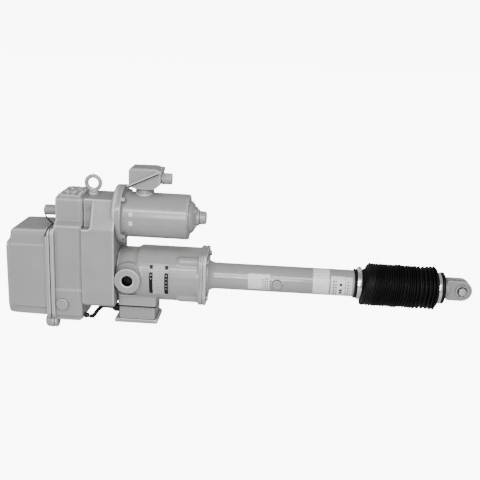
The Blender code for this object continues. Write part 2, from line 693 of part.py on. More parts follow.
def build_rotor():
    group = pivot("rotor_axis", (0.0, 0.0, MOTOR_Z))
    axis = (0.0, MOTOR_Z)
    shaft = [
        (-150.0, 0.0), (-150.0, 7.0), (-110.0, 7.0), (-110.0, SHAFT_RADIUS), (176.0, SHAFT_RADIUS),
        (176.0, 0.0),
    ]
    add(turned("motor_shaft", shaft, "x", axis, 16), STEEL, group)
    add(sleeve("rotor_core", (14.0, 98.0), 10.0, 31.8, "x", axis, 20), STEEL, group)
    add(sleeve("brake_disc", (122.0, 128.0), 10.0, 46.0, "x", axis, 20), BLACK_PLASTIC, group)
    pinion = prism("motor_pinion", gear_outline(PINION_TEETH, GEAR_MODULE, axis, -pi / 2), GEAR_X)
    cut(add(pinion, STEEL, group), rod("pinion_bore", (-120.0, -70.0), 10.0, "x", axis, 20))


def build_brake_armature():
    group = pivot("armature_axis", (0.0, 0.0, MOTOR_Z))
    add(sleeve("brake_armature", (129.0, 135.5), 14.0, 48.0, "x", (0.0, MOTOR_Z), 24), STEEL, group)


# ---------------------------------------------------------------- gear train and screw

def build_idler():
    add(rod("idler_shaft", (-134.0, -46.3), SHAFT_RADIUS, "x", (0.0, IDLER_Z)), STEEL)
    group = pivot("idler_axis", (0.0, 0.0, IDLER_Z))
    axis = (0.0, IDLER_Z)
    pitch_angle = 2 * pi / IDLER_TEETH
    outline = gear_outline(IDLER_TEETH, GEAR_MODULE, axis, pi / 2 + pitch_angle / 2)
    gear = add(prism("idler_gear", outline, GEAR_X), STEEL, group)
    cut(gear, rod("idler_bore", (-120.0, -70.0), 10.0, "x", axis, 20))


def screw_tooth_angle():
    """Angle of one screw-gear tooth that puts a tooth space where the idler's lowest tooth reaches it."""
    idler_pitch = 2 * pi / IDLER_TEETH
    offset = (-pi / 2 - (pi / 2 + idler_pitch / 2)) / idler_pitch
    lag = (offset - round(offset)) * idler_pitch
    screw_pitch = 2 * pi / SCREW_GEAR_TEETH
    return pi / 2 + screw_pitch / 2 + lag * IDLER_TEETH / SCREW_GEAR_TEETH


def build_screw():
    group = pivot("screw_axis", (0.0, 0.0, 0.0))
    profile = [
        (-292.0, 0.0), (-292.0, 6.0), (-284.0, 6.0), (-252.0, 6.0), (-180.0, 9.0), (-112.0, 9.0),
        (-112.0, 14.7), (-80.0, 14.7), (-80.0, 20.0), (-40.0, 20.0), (44.0, 20.0), (48.0, SCREW_RADIUS),
        (SCREW_END_X, SCREW_RADIUS), (SCREW_END_X, 0.0),
    ]
    add(turned("ball_screw", profile, steps=16), STEEL, group)
    outline = gear_outline(SCREW_GEAR_TEETH, GEAR_MODULE, (0.0, 0.0), screw_tooth_angle())
    gear = add(prism("screw_gear", outline, GEAR_X), STEEL, group)
    cut(gear, rod("screw_gear_bore", (-120.0, -70.0), 15.0, steps=24))
    worm = (WORM_X - 14.0, WORM_X + 14.0)
    add(sleeve("cam_worm", worm, 6.3, WORM_RADIUS, steps=20), STEEL, group)
    for name, span in (("screw_bearing_rear", (-30.0, -10.0)), ("screw_bearing_front", (10.0, 32.0))):
        add(sleeve(name, span, 20.4, 45.0, steps=24), STEEL)


def cam_outline(centre, lobe_angle):
    """Round disc with one raised lobe about 40 degrees long."""
    points = []
    steps = 28
    for i in range(steps):
        angle = 2 * pi * i / steps
        reach = CAM_RADIUS + (CAM_RISE if cos(angle - lobe_angle) > 0.94 else 0.0)
        points.append((centre[0] + reach * cos(angle), centre[1] + reach * sin(angle)))
    return points


def build_cams():
    group = pivot("cam_axis", (WORM_X, 0.0, CAM_Z))
    axis = (WORM_X, CAM_Z)
    add(rod("cam_shaft", (-40.0, 64.0), 5.0, "y", axis, 16), STEEL, group)
    serration = []
    for i in range(2 * WHEEL_TEETH):
        angle = pi * i / WHEEL_TEETH
        reach = WHEEL_TEETH * WHEEL_MODULE / 2 + (WHEEL_MODULE if i % 2 else -WHEEL_MODULE)
        serration.append((axis[0] + reach * cos(angle), axis[1] + reach * sin(angle)))
    wheel = prism("cam_wheel", serration, (-7.0, 7.0), "y")
    cut(add(wheel, BRONZE, group), rod("wheel_bore", (-20.0, 20.0), CAM_BORE, "y", axis, 16))
    for name, span, lobe in (("retract_cam", (26.0, 32.0), 0.9), ("extend_cam", (40.0, 46.0), 2.6)):
        disc = add(prism(name, cam_outline(axis, lobe), span, "y"), BLACK_PLASTIC, group)
        cut(disc, rod(name + "_bore", (20.0, 50.0), CAM_BORE, "y", axis, 16))


def build_switches():
    bracket = [(-313.0, -92.0), (-222.0, -92.0), (-222.0, -88.0), (-313.0, -88.0)]
    plate = add(prism("switch_bracket", bracket, (-52.0, 70.0), "y"), STEEL)
    for number, y in enumerate((-46.0, 58.0)):
        post = rounded_rectangle(9.0, 31.0, 2.0, 1, (WORM_X, -61.0))
        weld_on(plate, prism(f"post_{number}", post, (y, y + 5.0), "y"))
        cut(plate, rod(f"post_hole_{number}", (y - 2.0, y + 7.0), 5.4, "y", (WORM_X, CAM_Z), 14))
    for name, y in (("retract_switch", 22.5), ("extend_switch", 37.5)):
        body = rounded_rectangle(13.0, 8.0, 1.5, 1, (WORM_X - 4.0, CAM_Z - 34.0))
        add(prism(name, body, (y, y + 13.0), "y"), BLACK_PLASTIC)


# ---------------------------------------------------------------- rod, bellows, fork

def build_rod():
    group = pivot("rod_axis", (0.0, 0.0, 0.0))
    nut = [(52.0, SCREW_RADIUS + GAP), (52.0, 31.0), (83.7, 31.0), (83.7, SCREW_RADIUS + GAP)]
    add(turned("ball_nut", nut, steps=20), STEEL, group)
    add(sleeve("rod_tube", ROD_X, ROD_BORE, ROD_RADIUS, steps=24), BRIGHT, group)
    neck = [(FORK_X0, 0.0), (FORK_X0, 27.0), (905.0, 27.0), (905.0, 0.0)]
    fork_outline = [(900.0, -26.0), (904.0, -FORK_HALF_HEIGHT)]
    for i in range(13):
        angle = -pi / 2 + pi * i / 12
        fork_outline.append((FORK_PIN_X + FORK_HALF_HEIGHT * cos(angle), FORK_HALF_HEIGHT * sin(angle)))
    fork_outline += [(904.0, FORK_HALF_HEIGHT), (900.0, 26.0)]
    fork = add(turned("rod_fork", neck, steps=20), PAINT, group)
    weld_on(fork, prism("fork_body", fork_outline, (-FORK_HALF_DEPTH, FORK_HALF_DEPTH), "y"))
    slot = [(918.0, -40.0), (990.0, -40.0), (990.0, 40.0), (918.0, 40.0)]
    cut(fork, prism("fork_slot", slot, (-FORK_GAP_HALF, FORK_GAP_HALF), "y"))
    cut(fork, rod("fork_hole", (-30.0, 30.0), PIN_RADIUS + GAP, "y", (FORK_PIN_X, 0.0), 24))
    add(sleeve("bellows_clamp_front", FRONT_CLAMP_X, *CLAMP_RADII, steps=24), BRIGHT, group)


def build_fork_pin():
    group = pivot("pin_axis", (FORK_PIN_X, 0.0, 0.0))
    axis = (FORK_PIN_X, 0.0)
    head = FORK_HALF_DEPTH + GAP
    pin = [
        (-28.0, 0.0), (-28.0, PIN_RADIUS - 1.5), (-26.5, PIN_RADIUS), (head, PIN_RADIUS), (head, 17.0),
        (head + 6.0, 17.0), (head + 6.0, 0.0),
    ]
    body = add(turned("fork_pin", pin, "y", axis, 20), STEEL, group)
    cut(body, rod("cotter_hole", (-30.0, 30.0), 2.0, "z", (FORK_PIN_X, -25.0), 8))
    add(sleeve("pin_washer", (-22.0, -19.3), PIN_RADIUS + GAP, 19.5, "y", axis, 20), STEEL, group)


def build_bellows():
    cuff_start, cuff_end = BELLOWS_CUFF_X
    start, end = BELLOWS_FOLD_X
    profile = [
        (cuff_start, TUBE_RADIUS + GAP), (cuff_start, CUFF_RADIUS), (start - 8.0, CUFF_RADIUS),
        (start, BELLOWS_RADIUS), (end, BELLOWS_RADIUS), (end + 7.0, CUFF_RADIUS), (cuff_end, CUFF_RADIUS),
        (cuff_end, BELLOWS_RING_RADIUS), (end + 6.0, BELLOWS_RING_RADIUS), (end - 4.0, BELLOWS_ROOT_RADIUS),
        (start + 4.0, BELLOWS_ROOT_RADIUS), (start - 6.0, TUBE_RADIUS + GAP),
    ]
    add(turned("bellows", profile, steps=24), BLACK_RUBBER)
    add(sleeve("bellows_clamp_rear", REAR_CLAMP_X, *CLAMP_RADII, steps=24), BRIGHT)


# ---------------------------------------------------------------- plates and labels

def curved_plate(name, span, radius, thickness, half_arc, finish, steps):
    """A thin plate wrapped on an X-axis cylinder, centred on -Y."""
    inner = [radians(half_arc * (2 * i / steps - 1)) for i in range(steps + 1)]
    outline = [(-radius * cos(angle), radius * sin(angle)) for angle in inner]
    outer = radius + thickness
    outline += [(-outer * cos(angle), outer * sin(angle)) for angle in reversed(inner)]
    return add(prism(name, outline, span), finish)


def build_plates():
    curved_plate("nameplate", (58.0, 112.0), BODY_RADIUS + 0.4, 0.8, 31.0, LABEL, 12)


def build_front_covers():
    plug = [(-93.8, 0.0), (-93.8, 17.5), (-99.0, 17.5), (-100.5, 16.0), (-100.5, 0.0)]
    add(turned("drain_plug", plug, "y", DRAIN_PLUG_XZ, 20), PAINT)


def main():
    clear_scene()
    build_gear_case()
    build_middle_housing()
    build_rear_cover()
    build_gasket()
    build_eye_bolt()
    build_handle_cap()
    build_leads()
    build_screw_housing()
    build_trunnion_bushes()
    build_outer_tube()
    build_tube_fittings()
    build_junction_box()
    build_terminal_base()
    build_terminal_cover()
    build_terminal_fittings()
    build_motor()
    build_rotor()
    build_brake_armature()
    build_idler()
    build_screw()
    build_cams()
    build_switches()
    build_rod()
    build_fork_pin()
    build_bellows()
    build_plates()
    build_front_covers()
    bpy.context.view_layer.update()


main()
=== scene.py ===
"""Finished look of the linear actuator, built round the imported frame.

Frame: origin where the screw axis crosses the trunnion axis, +X towards the fork, +Y to the back, +Z up.
Lengths are written in millimetres and turned into metres where a mesh or an object is made.
"""

import json
import random
from math import atan2, cos, pi, radians, sin

import bmesh
import bpy
from mathutils import Matrix, Vector, noise


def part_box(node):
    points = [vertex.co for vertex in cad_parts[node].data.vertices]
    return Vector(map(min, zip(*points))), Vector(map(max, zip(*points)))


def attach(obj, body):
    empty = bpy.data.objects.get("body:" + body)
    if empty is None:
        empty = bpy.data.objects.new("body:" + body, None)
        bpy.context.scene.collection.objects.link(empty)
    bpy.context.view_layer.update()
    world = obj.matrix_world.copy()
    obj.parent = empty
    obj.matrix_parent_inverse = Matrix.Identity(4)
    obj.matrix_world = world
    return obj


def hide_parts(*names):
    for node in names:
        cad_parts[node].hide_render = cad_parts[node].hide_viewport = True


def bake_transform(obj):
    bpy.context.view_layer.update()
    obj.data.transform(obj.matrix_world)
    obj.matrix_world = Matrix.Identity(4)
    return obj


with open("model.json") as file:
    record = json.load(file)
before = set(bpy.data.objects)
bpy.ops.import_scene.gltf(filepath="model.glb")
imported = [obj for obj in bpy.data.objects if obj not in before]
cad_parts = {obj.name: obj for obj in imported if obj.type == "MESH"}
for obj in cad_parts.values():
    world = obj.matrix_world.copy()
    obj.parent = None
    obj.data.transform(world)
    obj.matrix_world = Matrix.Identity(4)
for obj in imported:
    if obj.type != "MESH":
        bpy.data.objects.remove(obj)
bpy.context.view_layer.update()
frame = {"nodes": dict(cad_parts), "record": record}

MM = 0.001
NODES = frame["nodes"]

# Places taken from the design, in millimetres
MOTOR_Z = 170.0
TUBE_RADIUS = 38.15
BODY_RADIUS = 79.0
BARREL_RADIUS = 64.5
EYE = (-114.0, 0.0, 254.8)
FORK_PIN_X = 943.0
GREASE_PLUG = (418.5, -2.7)
DRAIN_PLUG = (-183.0, -79.0)
BOX_GLAND = (-10.0, -111.5)
CASE_GLAND = (-62.0, -121.5)
TRUNNION_BORE = 14.8

# Fasteners: half the side of each square of bolts, then (y, z) of the cover's lower screws on one side,
# then the junction box's middle in x with half the pitch of its screws in x and y
MOTOR_BOLTS = 52.5
TUBE_BOLTS = 51.3
COVER_SCREWS = (60.0, -143.0)
BOX_SCREWS = (16.5, 56.5, 45.0)

# Slanted joint of the terminal box: its rise over x, and a point (x, z) on it
JOINT_SLOPE = 0.475
JOINT_LOW = (-5.0, 257.0)

# Studio
SKY_LIGHT = 0.42
BACKDROP = 9.0


# ---------------------------------------------------------------- small helpers

def lowest(node):
    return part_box(node)[0] / MM


def highest(node):
    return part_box(node)[1] / MM


def mix(a, b, t):
    return a + (b - a) * t


def smoothstep(t):
    t = max(0.0, min(1.0, t))
    return t * t * (3 - 2 * t)


def ring_points(radius, steps, phase=0.0):
    angles = [phase + 2 * pi * i / steps for i in range(steps)]
    return [(radius * cos(angle), radius * sin(angle)) for angle in angles]


def place(axis, along, a, b):
    """A point from its place along an axis and its two coordinates across it, in alphabetical order."""
    if axis == "x":
        return Vector((along, a, b))
    if axis == "y":
        return Vector((a, along, b))
    return Vector((a, b, along))


def added(name, data):
    """A new object that holds the data, linked to the scene."""
    obj = bpy.data.objects.new(name, data)
    bpy.context.scene.collection.objects.link(obj)
    return obj


def absorb(bm, extra):
    """Adds the second bmesh to the first and frees it."""
    part = bpy.data.meshes.new("part")
    extra.to_mesh(part)
    extra.free()
    bm.from_mesh(part)
    bpy.data.meshes.remove(part)


def object_from(bm, name, material, sharp=35.0):
    """Turns a bmesh in millimetres into an object in metres."""
    bmesh.ops.remove_doubles(bm, verts=bm.verts, dist=0.001)
    bmesh.ops.recalc_face_normals(bm, faces=bm.faces)
    bmesh.ops.scale(bm, vec=(MM, MM, MM), verts=bm.verts)
    mesh = bpy.data.meshes.new(name)
    bm.to_mesh(mesh)
    bm.free()
    mesh.shade_smooth()
    mesh.set_sharp_from_angle(angle=radians(sharp))
    mesh.materials.append(material)
    return added(name, mesh)


def finish(obj, body, slot_name, *replaced):
    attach(obj, body)
    if replaced:
        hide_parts(*replaced)
    return obj


def filleted(points, radius, steps=3, loop=False):
    """The path with each inner corner turned into an arc of about the radius."""
    rounded = []
    count = len(points)
    for i, point in enumerate(points):
        here = Vector(point)
        if not loop and i in (0, count - 1):
            rounded.append(tuple(here))
            continue
        before = Vector(points[i - 1])
        after = Vector(points[(i + 1) % count])
        reach = min(radius, (before - here).length * 0.45, (after - here).length * 0.45)
        start = here + (before - here).normalized() * reach
        end = here + (after - here).normalized() * reach
        for k in range(steps + 1):
            t = k / steps
            rounded.append(tuple(start.lerp(here, t).lerp(here.lerp(end, t), t)))
    return rounded


def add_turned(bm, profile, axis="x", centre=(0.0, 0.0), steps=64, closed=False):
    """Adds a turned surface from (along, radius) points; closed joins its last point to its first."""
    rows = []
    for along, radius in profile:
        if radius < 1e-6:
            rows.append([bm.verts.new(place(axis, along, *centre))])
        else:
            rows.append([
                bm.verts.new(place(axis, along, centre[0] + a, centre[1] + b))
                for a, b in ring_points(radius, steps)
            ])
    pairs = list(zip(rows, rows[1:] + rows[:1])) if closed else list(zip(rows, rows[1:]))
    for one, two in pairs:
        if len(one) == 1 and len(two) == 1:
            continue
        for i in range(steps):
            j = (i + 1) % steps
            corners = (one[i % len(one)], one[j % len(one)], two[j % len(two)], two[i % len(two)])
            bm.faces.new(list(dict.fromkeys(corners)))


def add_prism(bm, outline, span, axis="x"):
    low = [bm.verts.new(place(axis, span[0], a, b)) for a, b in outline]
    high = [bm.verts.new(place(axis, span[1], a, b)) for a, b in outline]
    for i in range(len(outline)):
        j = (i + 1) % len(outline)
        bm.faces.new((low[i], low[j], high[j], high[i]))
    bm.faces.new(low)
    bm.faces.new(high)


def rounded_rectangle(half_a, half_b, radius, steps=4, centre=(0.0, 0.0)):
    points = []
    for corner, (sa, sb) in enumerate(((1, 1), (-1, 1), (-1, -1), (1, -1))):
        for i in range(steps + 1):
            angle = pi / 2 * (corner + i / steps)
            points.append((
                centre[0] + sa * (half_a - radius) + radius * cos(angle),
                centre[1] + sb * (half_b - radius) + radius * sin(angle),
            ))
    return points


def bevelled(obj, width):
    change = obj.modifiers.new("edges", "BEVEL")
    change.width = width * MM
    change.segments = 3
    change.limit_method = "ANGLE"
    change.angle_limit = radians(35.0)
    return obj


def applied(obj):
    """Replaces the object's mesh with what its modifiers make of it."""
    bpy.context.view_layer.update()
    graph = bpy.context.evaluated_depsgraph_get()
    mesh = bpy.data.meshes.new_from_object(obj.evaluated_get(graph))
    obj.modifiers.clear()
    obj.data = mesh
    return obj


# ---------------------------------------------------------------- materials

class Nodes:
    """Thin wrapper that adds and links shader nodes by name."""

    def __init__(self, name):
        self.material = bpy.data.materials.new(name)
        self.material.use_nodes = True
        self.tree = self.material.node_tree
        self.shader = self.tree.nodes["Principled BSDF"]
        self.coords = self.add("ShaderNodeTexCoord").outputs["Object"]

    def add(self, kind, **settings):
        node = self.tree.nodes.new(kind)
        for key, value in settings.items():
            setattr(node, key, value)
        return node

    def link(self, source, target):
        self.tree.links.new(source, target)

    def noise(self, scale, detail=3.0, roughness=0.55, stretch=None):
        node = self.add("ShaderNodeTexNoise")
        node.inputs["Scale"].default_value = scale
        node.inputs["Detail"].default_value = detail
        node.inputs["Roughness"].default_value = roughness
        source = self.coords
        if stretch:
            mapping = self.add("ShaderNodeMapping")
            mapping.inputs["Scale"].default_value = stretch
            self.link(self.coords, mapping.inputs["Vector"])
            source = mapping.outputs["Vector"]
        self.link(source, node.inputs["Vector"])
        return node.outputs["Fac"]

    def ranged(self, value, low, high, out_low, out_high):
        node = self.add("ShaderNodeMapRange")
        for key, number in (("From Min", low), ("From Max", high), ("To Min", out_low), ("To Max", out_high)):
            node.inputs[key].default_value = number
        self.link(value, node.inputs["Value"])
        return node.outputs["Result"]

    def blend(self, factor, one, two, mode="MIX"):
        node = self.add("ShaderNodeMix", data_type="RGBA", blend_type=mode)
        if isinstance(factor, float):
            node.inputs["Factor"].default_value = factor
        else:
            self.link(factor, node.inputs["Factor"])
        for socket, value in ((node.inputs[6], one), (node.inputs[7], two)):
            if isinstance(value, tuple):
                socket.default_value = (*value, 1.0)
            else:
                self.link(value, socket)
        return node.outputs[2]

    def bump(self, height, strength, distance, under=None):
        node = self.add("ShaderNodeBump")
        node.inputs["Strength"].default_value = strength
        node.inputs["Distance"].default_value = distance
        self.link(height, node.inputs["Height"])
        if under:
            self.link(under, node.inputs["Normal"])
        return node.outputs["Normal"]

    def crevices(self, reach, inside=False):
        """Low in corners and hollows, or on outer edges where inside is set."""
        node = self.add("ShaderNodeAmbientOcclusion", inside=inside)
        node.samples = 6
        node.inputs["Distance"].default_value = reach
        return node.outputs["AO"]

    def edges(self):
        return self.add("ShaderNodeNewGeometry").outputs["Pointiness"]

    def upward(self):
        split = self.add("ShaderNodeSeparateXYZ")
        self.link(self.add("ShaderNodeNewGeometry").outputs["Normal"], split.inputs["Vector"])
        return split.outputs["Z"]

    def varied_roughness(self, scale, detail, low, high):
        patches = self.ranged(self.noise(scale, detail), 0.3, 0.7, low, high)
        self.link(patches, self.shader.inputs["Roughness"])

    def product(self, one, two):
        node = self.add("ShaderNodeMath", operation="MULTIPLY")
        self.link(one, node.inputs[0])
        self.link(two, node.inputs[1])
        return node.outputs[0]


def grey(value):
    return (value, value * 1.004, value * 0.99)


def painted(name, level, roughness=0.42, casting=0.5, grime_and_shade=0.35, coat=0.45, edge_highlight_strength=0.55, reach=0.003):
    """Satin machine enamel: orange peel over a cast skin, grime and painted shade in corners, painted shade
    in recesses, painted highlights on upper edges.
    """
    n = Nodes(name)
    cloudy = n.ranged(n.noise(9.0, 4.0), 0.35, 0.65, 0.0, 1.0)
    base = n.blend(cloudy, grey(level * 0.93), grey(level * 1.05))
    fine = n.ranged(n.noise(420.0, 2.0), 0.3, 0.7, 0.0, 1.0)
    base = n.blend(n.ranged(fine, 0.0, 1.0, 0.0, 0.12), base, grey(level * 0.7))
    # Grime and painted shade: darker in corners and creases, from a short occlusion reach
    grime_and_corner_shade = n.ranged(n.crevices(0.012), 0.35, 0.97, grime_and_shade, 0.0)
    base = n.blend(grime_and_corner_shade, base, (level * 0.22, level * 0.215, level * 0.2))
    # Painted shade: darker in recesses and under overhangs, from a long occlusion reach
    shade = n.ranged(n.crevices(0.05), 0.3, 0.8, grime_and_shade, 0.0)
    base = n.blend(shade, base, grey(level * 0.4))
    # Painted highlight: convex edges that face up and forward turn pale, where the key light would catch them
    tilt = n.upward()
    lit = n.product(n.ranged(tilt, -0.2, 0.3, 0.15, 1.0), n.ranged(tilt, 0.86, 0.97, 1.0, 0.1))
    painted_edge_highlight = n.product(n.ranged(n.crevices(reach, True), 0.97, 0.82, 0.0, edge_highlight_strength), lit)
    base = n.blend(painted_edge_highlight, base, grey(min(0.85, level * 2.7)))
    n.link(base, n.shader.inputs["Base Color"])
    n.varied_roughness(30.0, 3.0, roughness - 0.07, roughness + 0.09)
    peel = n.bump(n.noise(260.0, 2.0), 0.12, 0.0004)
    cast = n.bump(n.noise(95.0, 4.0, 0.65), 0.16 * casting, 0.0011, peel)
    n.link(cast, n.shader.inputs["Normal"])
    n.shader.inputs["Coat Weight"].default_value = coat
    n.shader.inputs["Coat Roughness"].default_value = 0.16
    return n.material


def metal(name, colour, roughness, brushed=(1.0, 1.0, 1.0), stain=0.25):
    """Bare or plated metal with brushing, stains and corners that are darker."""
    n = Nodes(name)
    stained = n.ranged(n.noise(38.0, 5.0, 0.6), 0.42, 0.72, 0.0, stain)
    base = n.blend(stained, colour, tuple(c * 0.5 for c in colour))
    # Darker in corners and hollows, from a short occlusion reach
    darker_corners = n.ranged(n.crevices(0.006), 0.2, 0.9, 0.55, 0.0)
    base = n.blend(darker_corners, base, (0.05, 0.045, 0.04))
    n.link(base, n.shader.inputs["Base Color"])
    n.shader.inputs["Metallic"].default_value = 1.0
    n.varied_roughness(120.0, 3.0, roughness - 0.06, roughness + 0.12)
    n.link(n.bump(n.noise(300.0, 2.0, 0.5, brushed), 0.12, 0.0003), n.shader.inputs["Normal"])
    return n.material


def soft_black(name, level, roughness, grain, shine=0.4):
    """Rubbered cloth or rubber: dull black with a fine grain and dusty ridges."""
    n = Nodes(name)
    dusty = n.ranged(n.edges(), 0.50, 0.58, 0.0, 0.5)
    cloudy = n.ranged(n.noise(24.0, 4.0), 0.4, 0.7, 0.0, 0.35)
    base = n.blend(cloudy, (level, level, level * 1.04), (level * 2.0, level * 1.96, level * 1.9))
    base = n.blend(dusty, base, (level * 2.6, level * 2.5, level * 2.4))
    n.link(base, n.shader.inputs["Base Color"])
    n.varied_roughness(60.0, 3.0, roughness - 0.1, roughness + 0.1)
    weave = n.bump(n.noise(grain, 3.0, 0.7), 0.3, 0.0004)
    n.link(weave, n.shader.inputs["Normal"])
    n.shader.inputs["Specular IOR Level"].default_value = shine
    return n.material


def plain_print(name, level, mark, rows, span):
    """Sticker or plate film with faint generic rules; rows is the number of rules over the height span."""
    n = Nodes(name)
    base = n.blend(n.ranged(n.noise(60.0, 3.0), 0.35, 0.65, 0.0, 1.0), grey(level * 0.93), grey(level))
    split = n.add("ShaderNodeSeparateXYZ")
    n.link(n.coords, split.inputs["Vector"])
    wave = n.add("ShaderNodeMath", operation="SINE")
    scaled = n.add("ShaderNodeMath", operation="MULTIPLY")
    scaled.inputs[1].default_value = 2 * pi * rows / span
    n.link(split.outputs["Z"], scaled.inputs[0])
    n.link(scaled.outputs[0], wave.inputs[0])
    lines = n.ranged(wave.outputs[0], 0.55, 0.8, 0.0, 1.0)
    broken = n.ranged(n.noise(210.0, 1.0, 0.5, (1.0, 1.0, 0.15)), 0.47, 0.53, 0.0, 1.0)
    faint = n.ranged(n.product(lines, broken), 0.0, 1.0, 0.0, mark)
    n.link(n.blend(faint, base, (0.12, 0.12, 0.12)), n.shader.inputs["Base Color"])
    n.varied_roughness(90.0, 2.0, 0.3, 0.42)
    n.link(n.bump(n.noise(180.0, 2.0), 0.05, 0.0002), n.shader.inputs["Normal"])
    return n.material


PAINT = painted("enamel_casting", 0.295, 0.46, 1.0, 0.6, 0.08, 1.0, 0.0055)
PAINT_BOX = painted("enamel_box", 0.285, 0.40, 0.8, 0.6, 0.2, 1.0, 0.0035)
PAINT_BODY = painted("enamel_body", 0.30, 0.30, 0.7, 0.55, 0.5, 0.8, 0.0045)
PAINT_SMOOTH = painted("enamel_smooth", 0.30, 0.30, 0.25, 0.3)
PAINT_TUBE = painted("enamel_tube", 0.31, 0.26, 0.10, 0.25)
PAINT_FORK = painted("enamel_fork", 0.25, 0.36, 0.5, 0.4)
PAINT_BOLT = painted("enamel_bolt", 0.20, 0.40, 0.3, 0.8)
CHAIN_METAL = metal("chain_metal", (0.03, 0.03, 0.029), 0.36, (1.0, 1.0, 1.0), 0.6)
STEEL = metal("turned_steel", (0.56, 0.56, 0.55), 0.28, (1.0, 8.0, 8.0))
BAND = metal("clamp_band_steel", (0.78, 0.78, 0.77), 0.2, (1.0, 6.0, 6.0), 0.15)
CHROME = metal("rod_chrome", (0.74, 0.74, 0.75), 0.12, (6.0, 1.0, 1.0), 0.08)
ZINC = metal("zinc_plate", (0.62, 0.62, 0.61), 0.34, (1.0, 1.0, 1.0), 0.3)
BRONZE = metal("bush_bronze", (0.05, 0.045, 0.04), 0.42, (1.0, 1.0, 1.0), 0.35)
COPPER = metal("winding_copper", (0.5, 0.24, 0.12), 0.45, (1.0, 1.0, 1.0), 0.4)
BELLOWS_CLOTH = soft_black("bellows_cloth", 0.0012, 0.5, 700.0, 0.2)
RUBBER = soft_black("black_rubber_skin", 0.005, 0.55, 500.0, 0.25)
PLASTIC = soft_black("black_moulded", 0.006, 0.42, 350.0, 0.25)
PLATE = plain_print("plate_face", 0.42, 0.45, 9.0, 0.06)
STICKER = plain_print("sticker_face", 0.8, 0.40, 8.0, 0.05)
INK = soft_black("plate_ink", 0.003, 0.45, 300.0, 0.2)


# ---------------------------------------------------------------- camera, light and floor

def build_camera():
    """Long lens, slightly to the right of the middle, 16 degrees above, with a small roll."""
    azimuth = radians(2.38)
    elevation = radians(16.04)
    roll = radians(2.5)
    distance = 2.05889
    target = Vector((0.30637, 0.0, 0.11048))
    back = Vector((sin(azimuth) * cos(elevation), -cos(azimuth) * cos(elevation), sin(elevation)))
    level_right = Vector((cos(azimuth), sin(azimuth), 0.0))
    level_up = back.cross(level_right)
    right = cos(roll) * level_right + sin(roll) * level_up
    up = cos(roll) * level_up - sin(roll) * level_right
    lens = bpy.data.cameras.new("photo_camera")
    lens.sensor_width = 36.0
    lens.lens = 54.12
    lens.clip_end = 50.0
    camera = added("photo_camera", lens)
    turn = Matrix((right, up, back)).transposed().to_4x4()
    camera.matrix_world = Matrix.Translation(target + back * distance) @ turn
    bpy.context.scene.camera = camera


def area_light(name, place_at, target, size, power):
    lamp = bpy.data.lights.new(name, "AREA")
    lamp.shape = "RECTANGLE"
    lamp.size, lamp.size_y = size
    lamp.energy = power
    obj = added(name, lamp)
    obj.location = place_at
    aim = Vector(target) - Vector(place_at)
    obj.rotation_euler = aim.to_track_quat("-Z", "Y").to_euler()


def build_stage():
    """Pale floor well under the hanging cylinder, a soft key near the camera and a bright even sky."""
    floor = bpy.data.meshes.new("floor")
    reach = 30.0
    drop = -0.62
    corners = [(-reach, -reach, drop), (reach, -reach, drop), (reach, reach, drop), (-reach, reach, drop)]
    floor.from_pydata(corners, [], [(0, 1, 2, 3)])
    n = Nodes("floor_pale")
    patches = n.ranged(n.noise(3.0, 2.0), 0.3, 0.7, 0.0, 1.0)
    n.link(n.blend(patches, (0.66, 0.66, 0.66), (0.69, 0.69, 0.69)), n.shader.inputs["Base Color"])
    n.shader.inputs["Roughness"].default_value = 0.9
    n.shader.inputs["Emission Color"].default_value = (1.0, 1.0, 1.0, 1.0)
    lit = n.ranged(n.add("ShaderNodeLightPath").outputs["Is Camera Ray"], 0.0, 1.0, 0.0, BACKDROP)
    n.link(lit, n.shader.inputs["Emission Strength"])
    floor.materials.append(n.material)
    ground = added("floor", floor)

    world = bpy.data.worlds.new("studio")
    world.use_nodes = True
    sky = world.node_tree.nodes["Background"]
    sky.inputs["Color"].default_value = (1.0, 1.0, 1.0, 1.0)
    rays = world.node_tree.nodes.new("ShaderNodeLightPath")
    level = world.node_tree.nodes.new("ShaderNodeMapRange")
    level.inputs["To Min"].default_value = SKY_LIGHT
    level.inputs["To Max"].default_value = BACKDROP
    world.node_tree.links.new(rays.outputs["Is Camera Ray"], level.inputs["Value"])
    world.node_tree.links.new(level.outputs["Result"], sky.inputs["Strength"])
    bpy.context.scene.world = world
    area_light("key_strip", (0.1, -2.3, 1.52), (0.25, 0.0, 0.05), (2.6, 0.11), 66.0)
    area_light("soft_front", (0.5, -3.0, 0.62), (0.3, 0.0, 0.05), (1.0, 0.8), 41.0)


# ---------------------------------------------------------------- castings

def cast_copy(node, name, material, voxel, passes, extras=()):
    """The CAD casting with its edges and inner corners softened, as a sand casting has them."""
    bm = bmesh.new()
    bm.from_mesh(NODES[node].data)
    for extra in extras:
        bmesh.ops.recalc_face_normals(extra, faces=extra.faces)
        bmesh.ops.scale(extra, vec=(MM, MM, MM), verts=extra.verts)
        absorb(bm, extra)
    mesh = bpy.data.meshes.new(name)
    bm.to_mesh(mesh)
    bm.free()
    mesh.materials.clear()
    mesh.materials.append(material)
    obj = added(name, mesh)
    fuse = obj.modifiers.new("fuse", "REMESH")
    fuse.mode = "VOXEL"
    fuse.voxel_size = voxel * MM
    fuse.use_smooth_shade = True
    soften = obj.modifiers.new("soften", "SMOOTH")
    soften.factor = 0.5
    soften.iterations = passes
    applied(obj)
    obj.data.shade_smooth()
    return obj


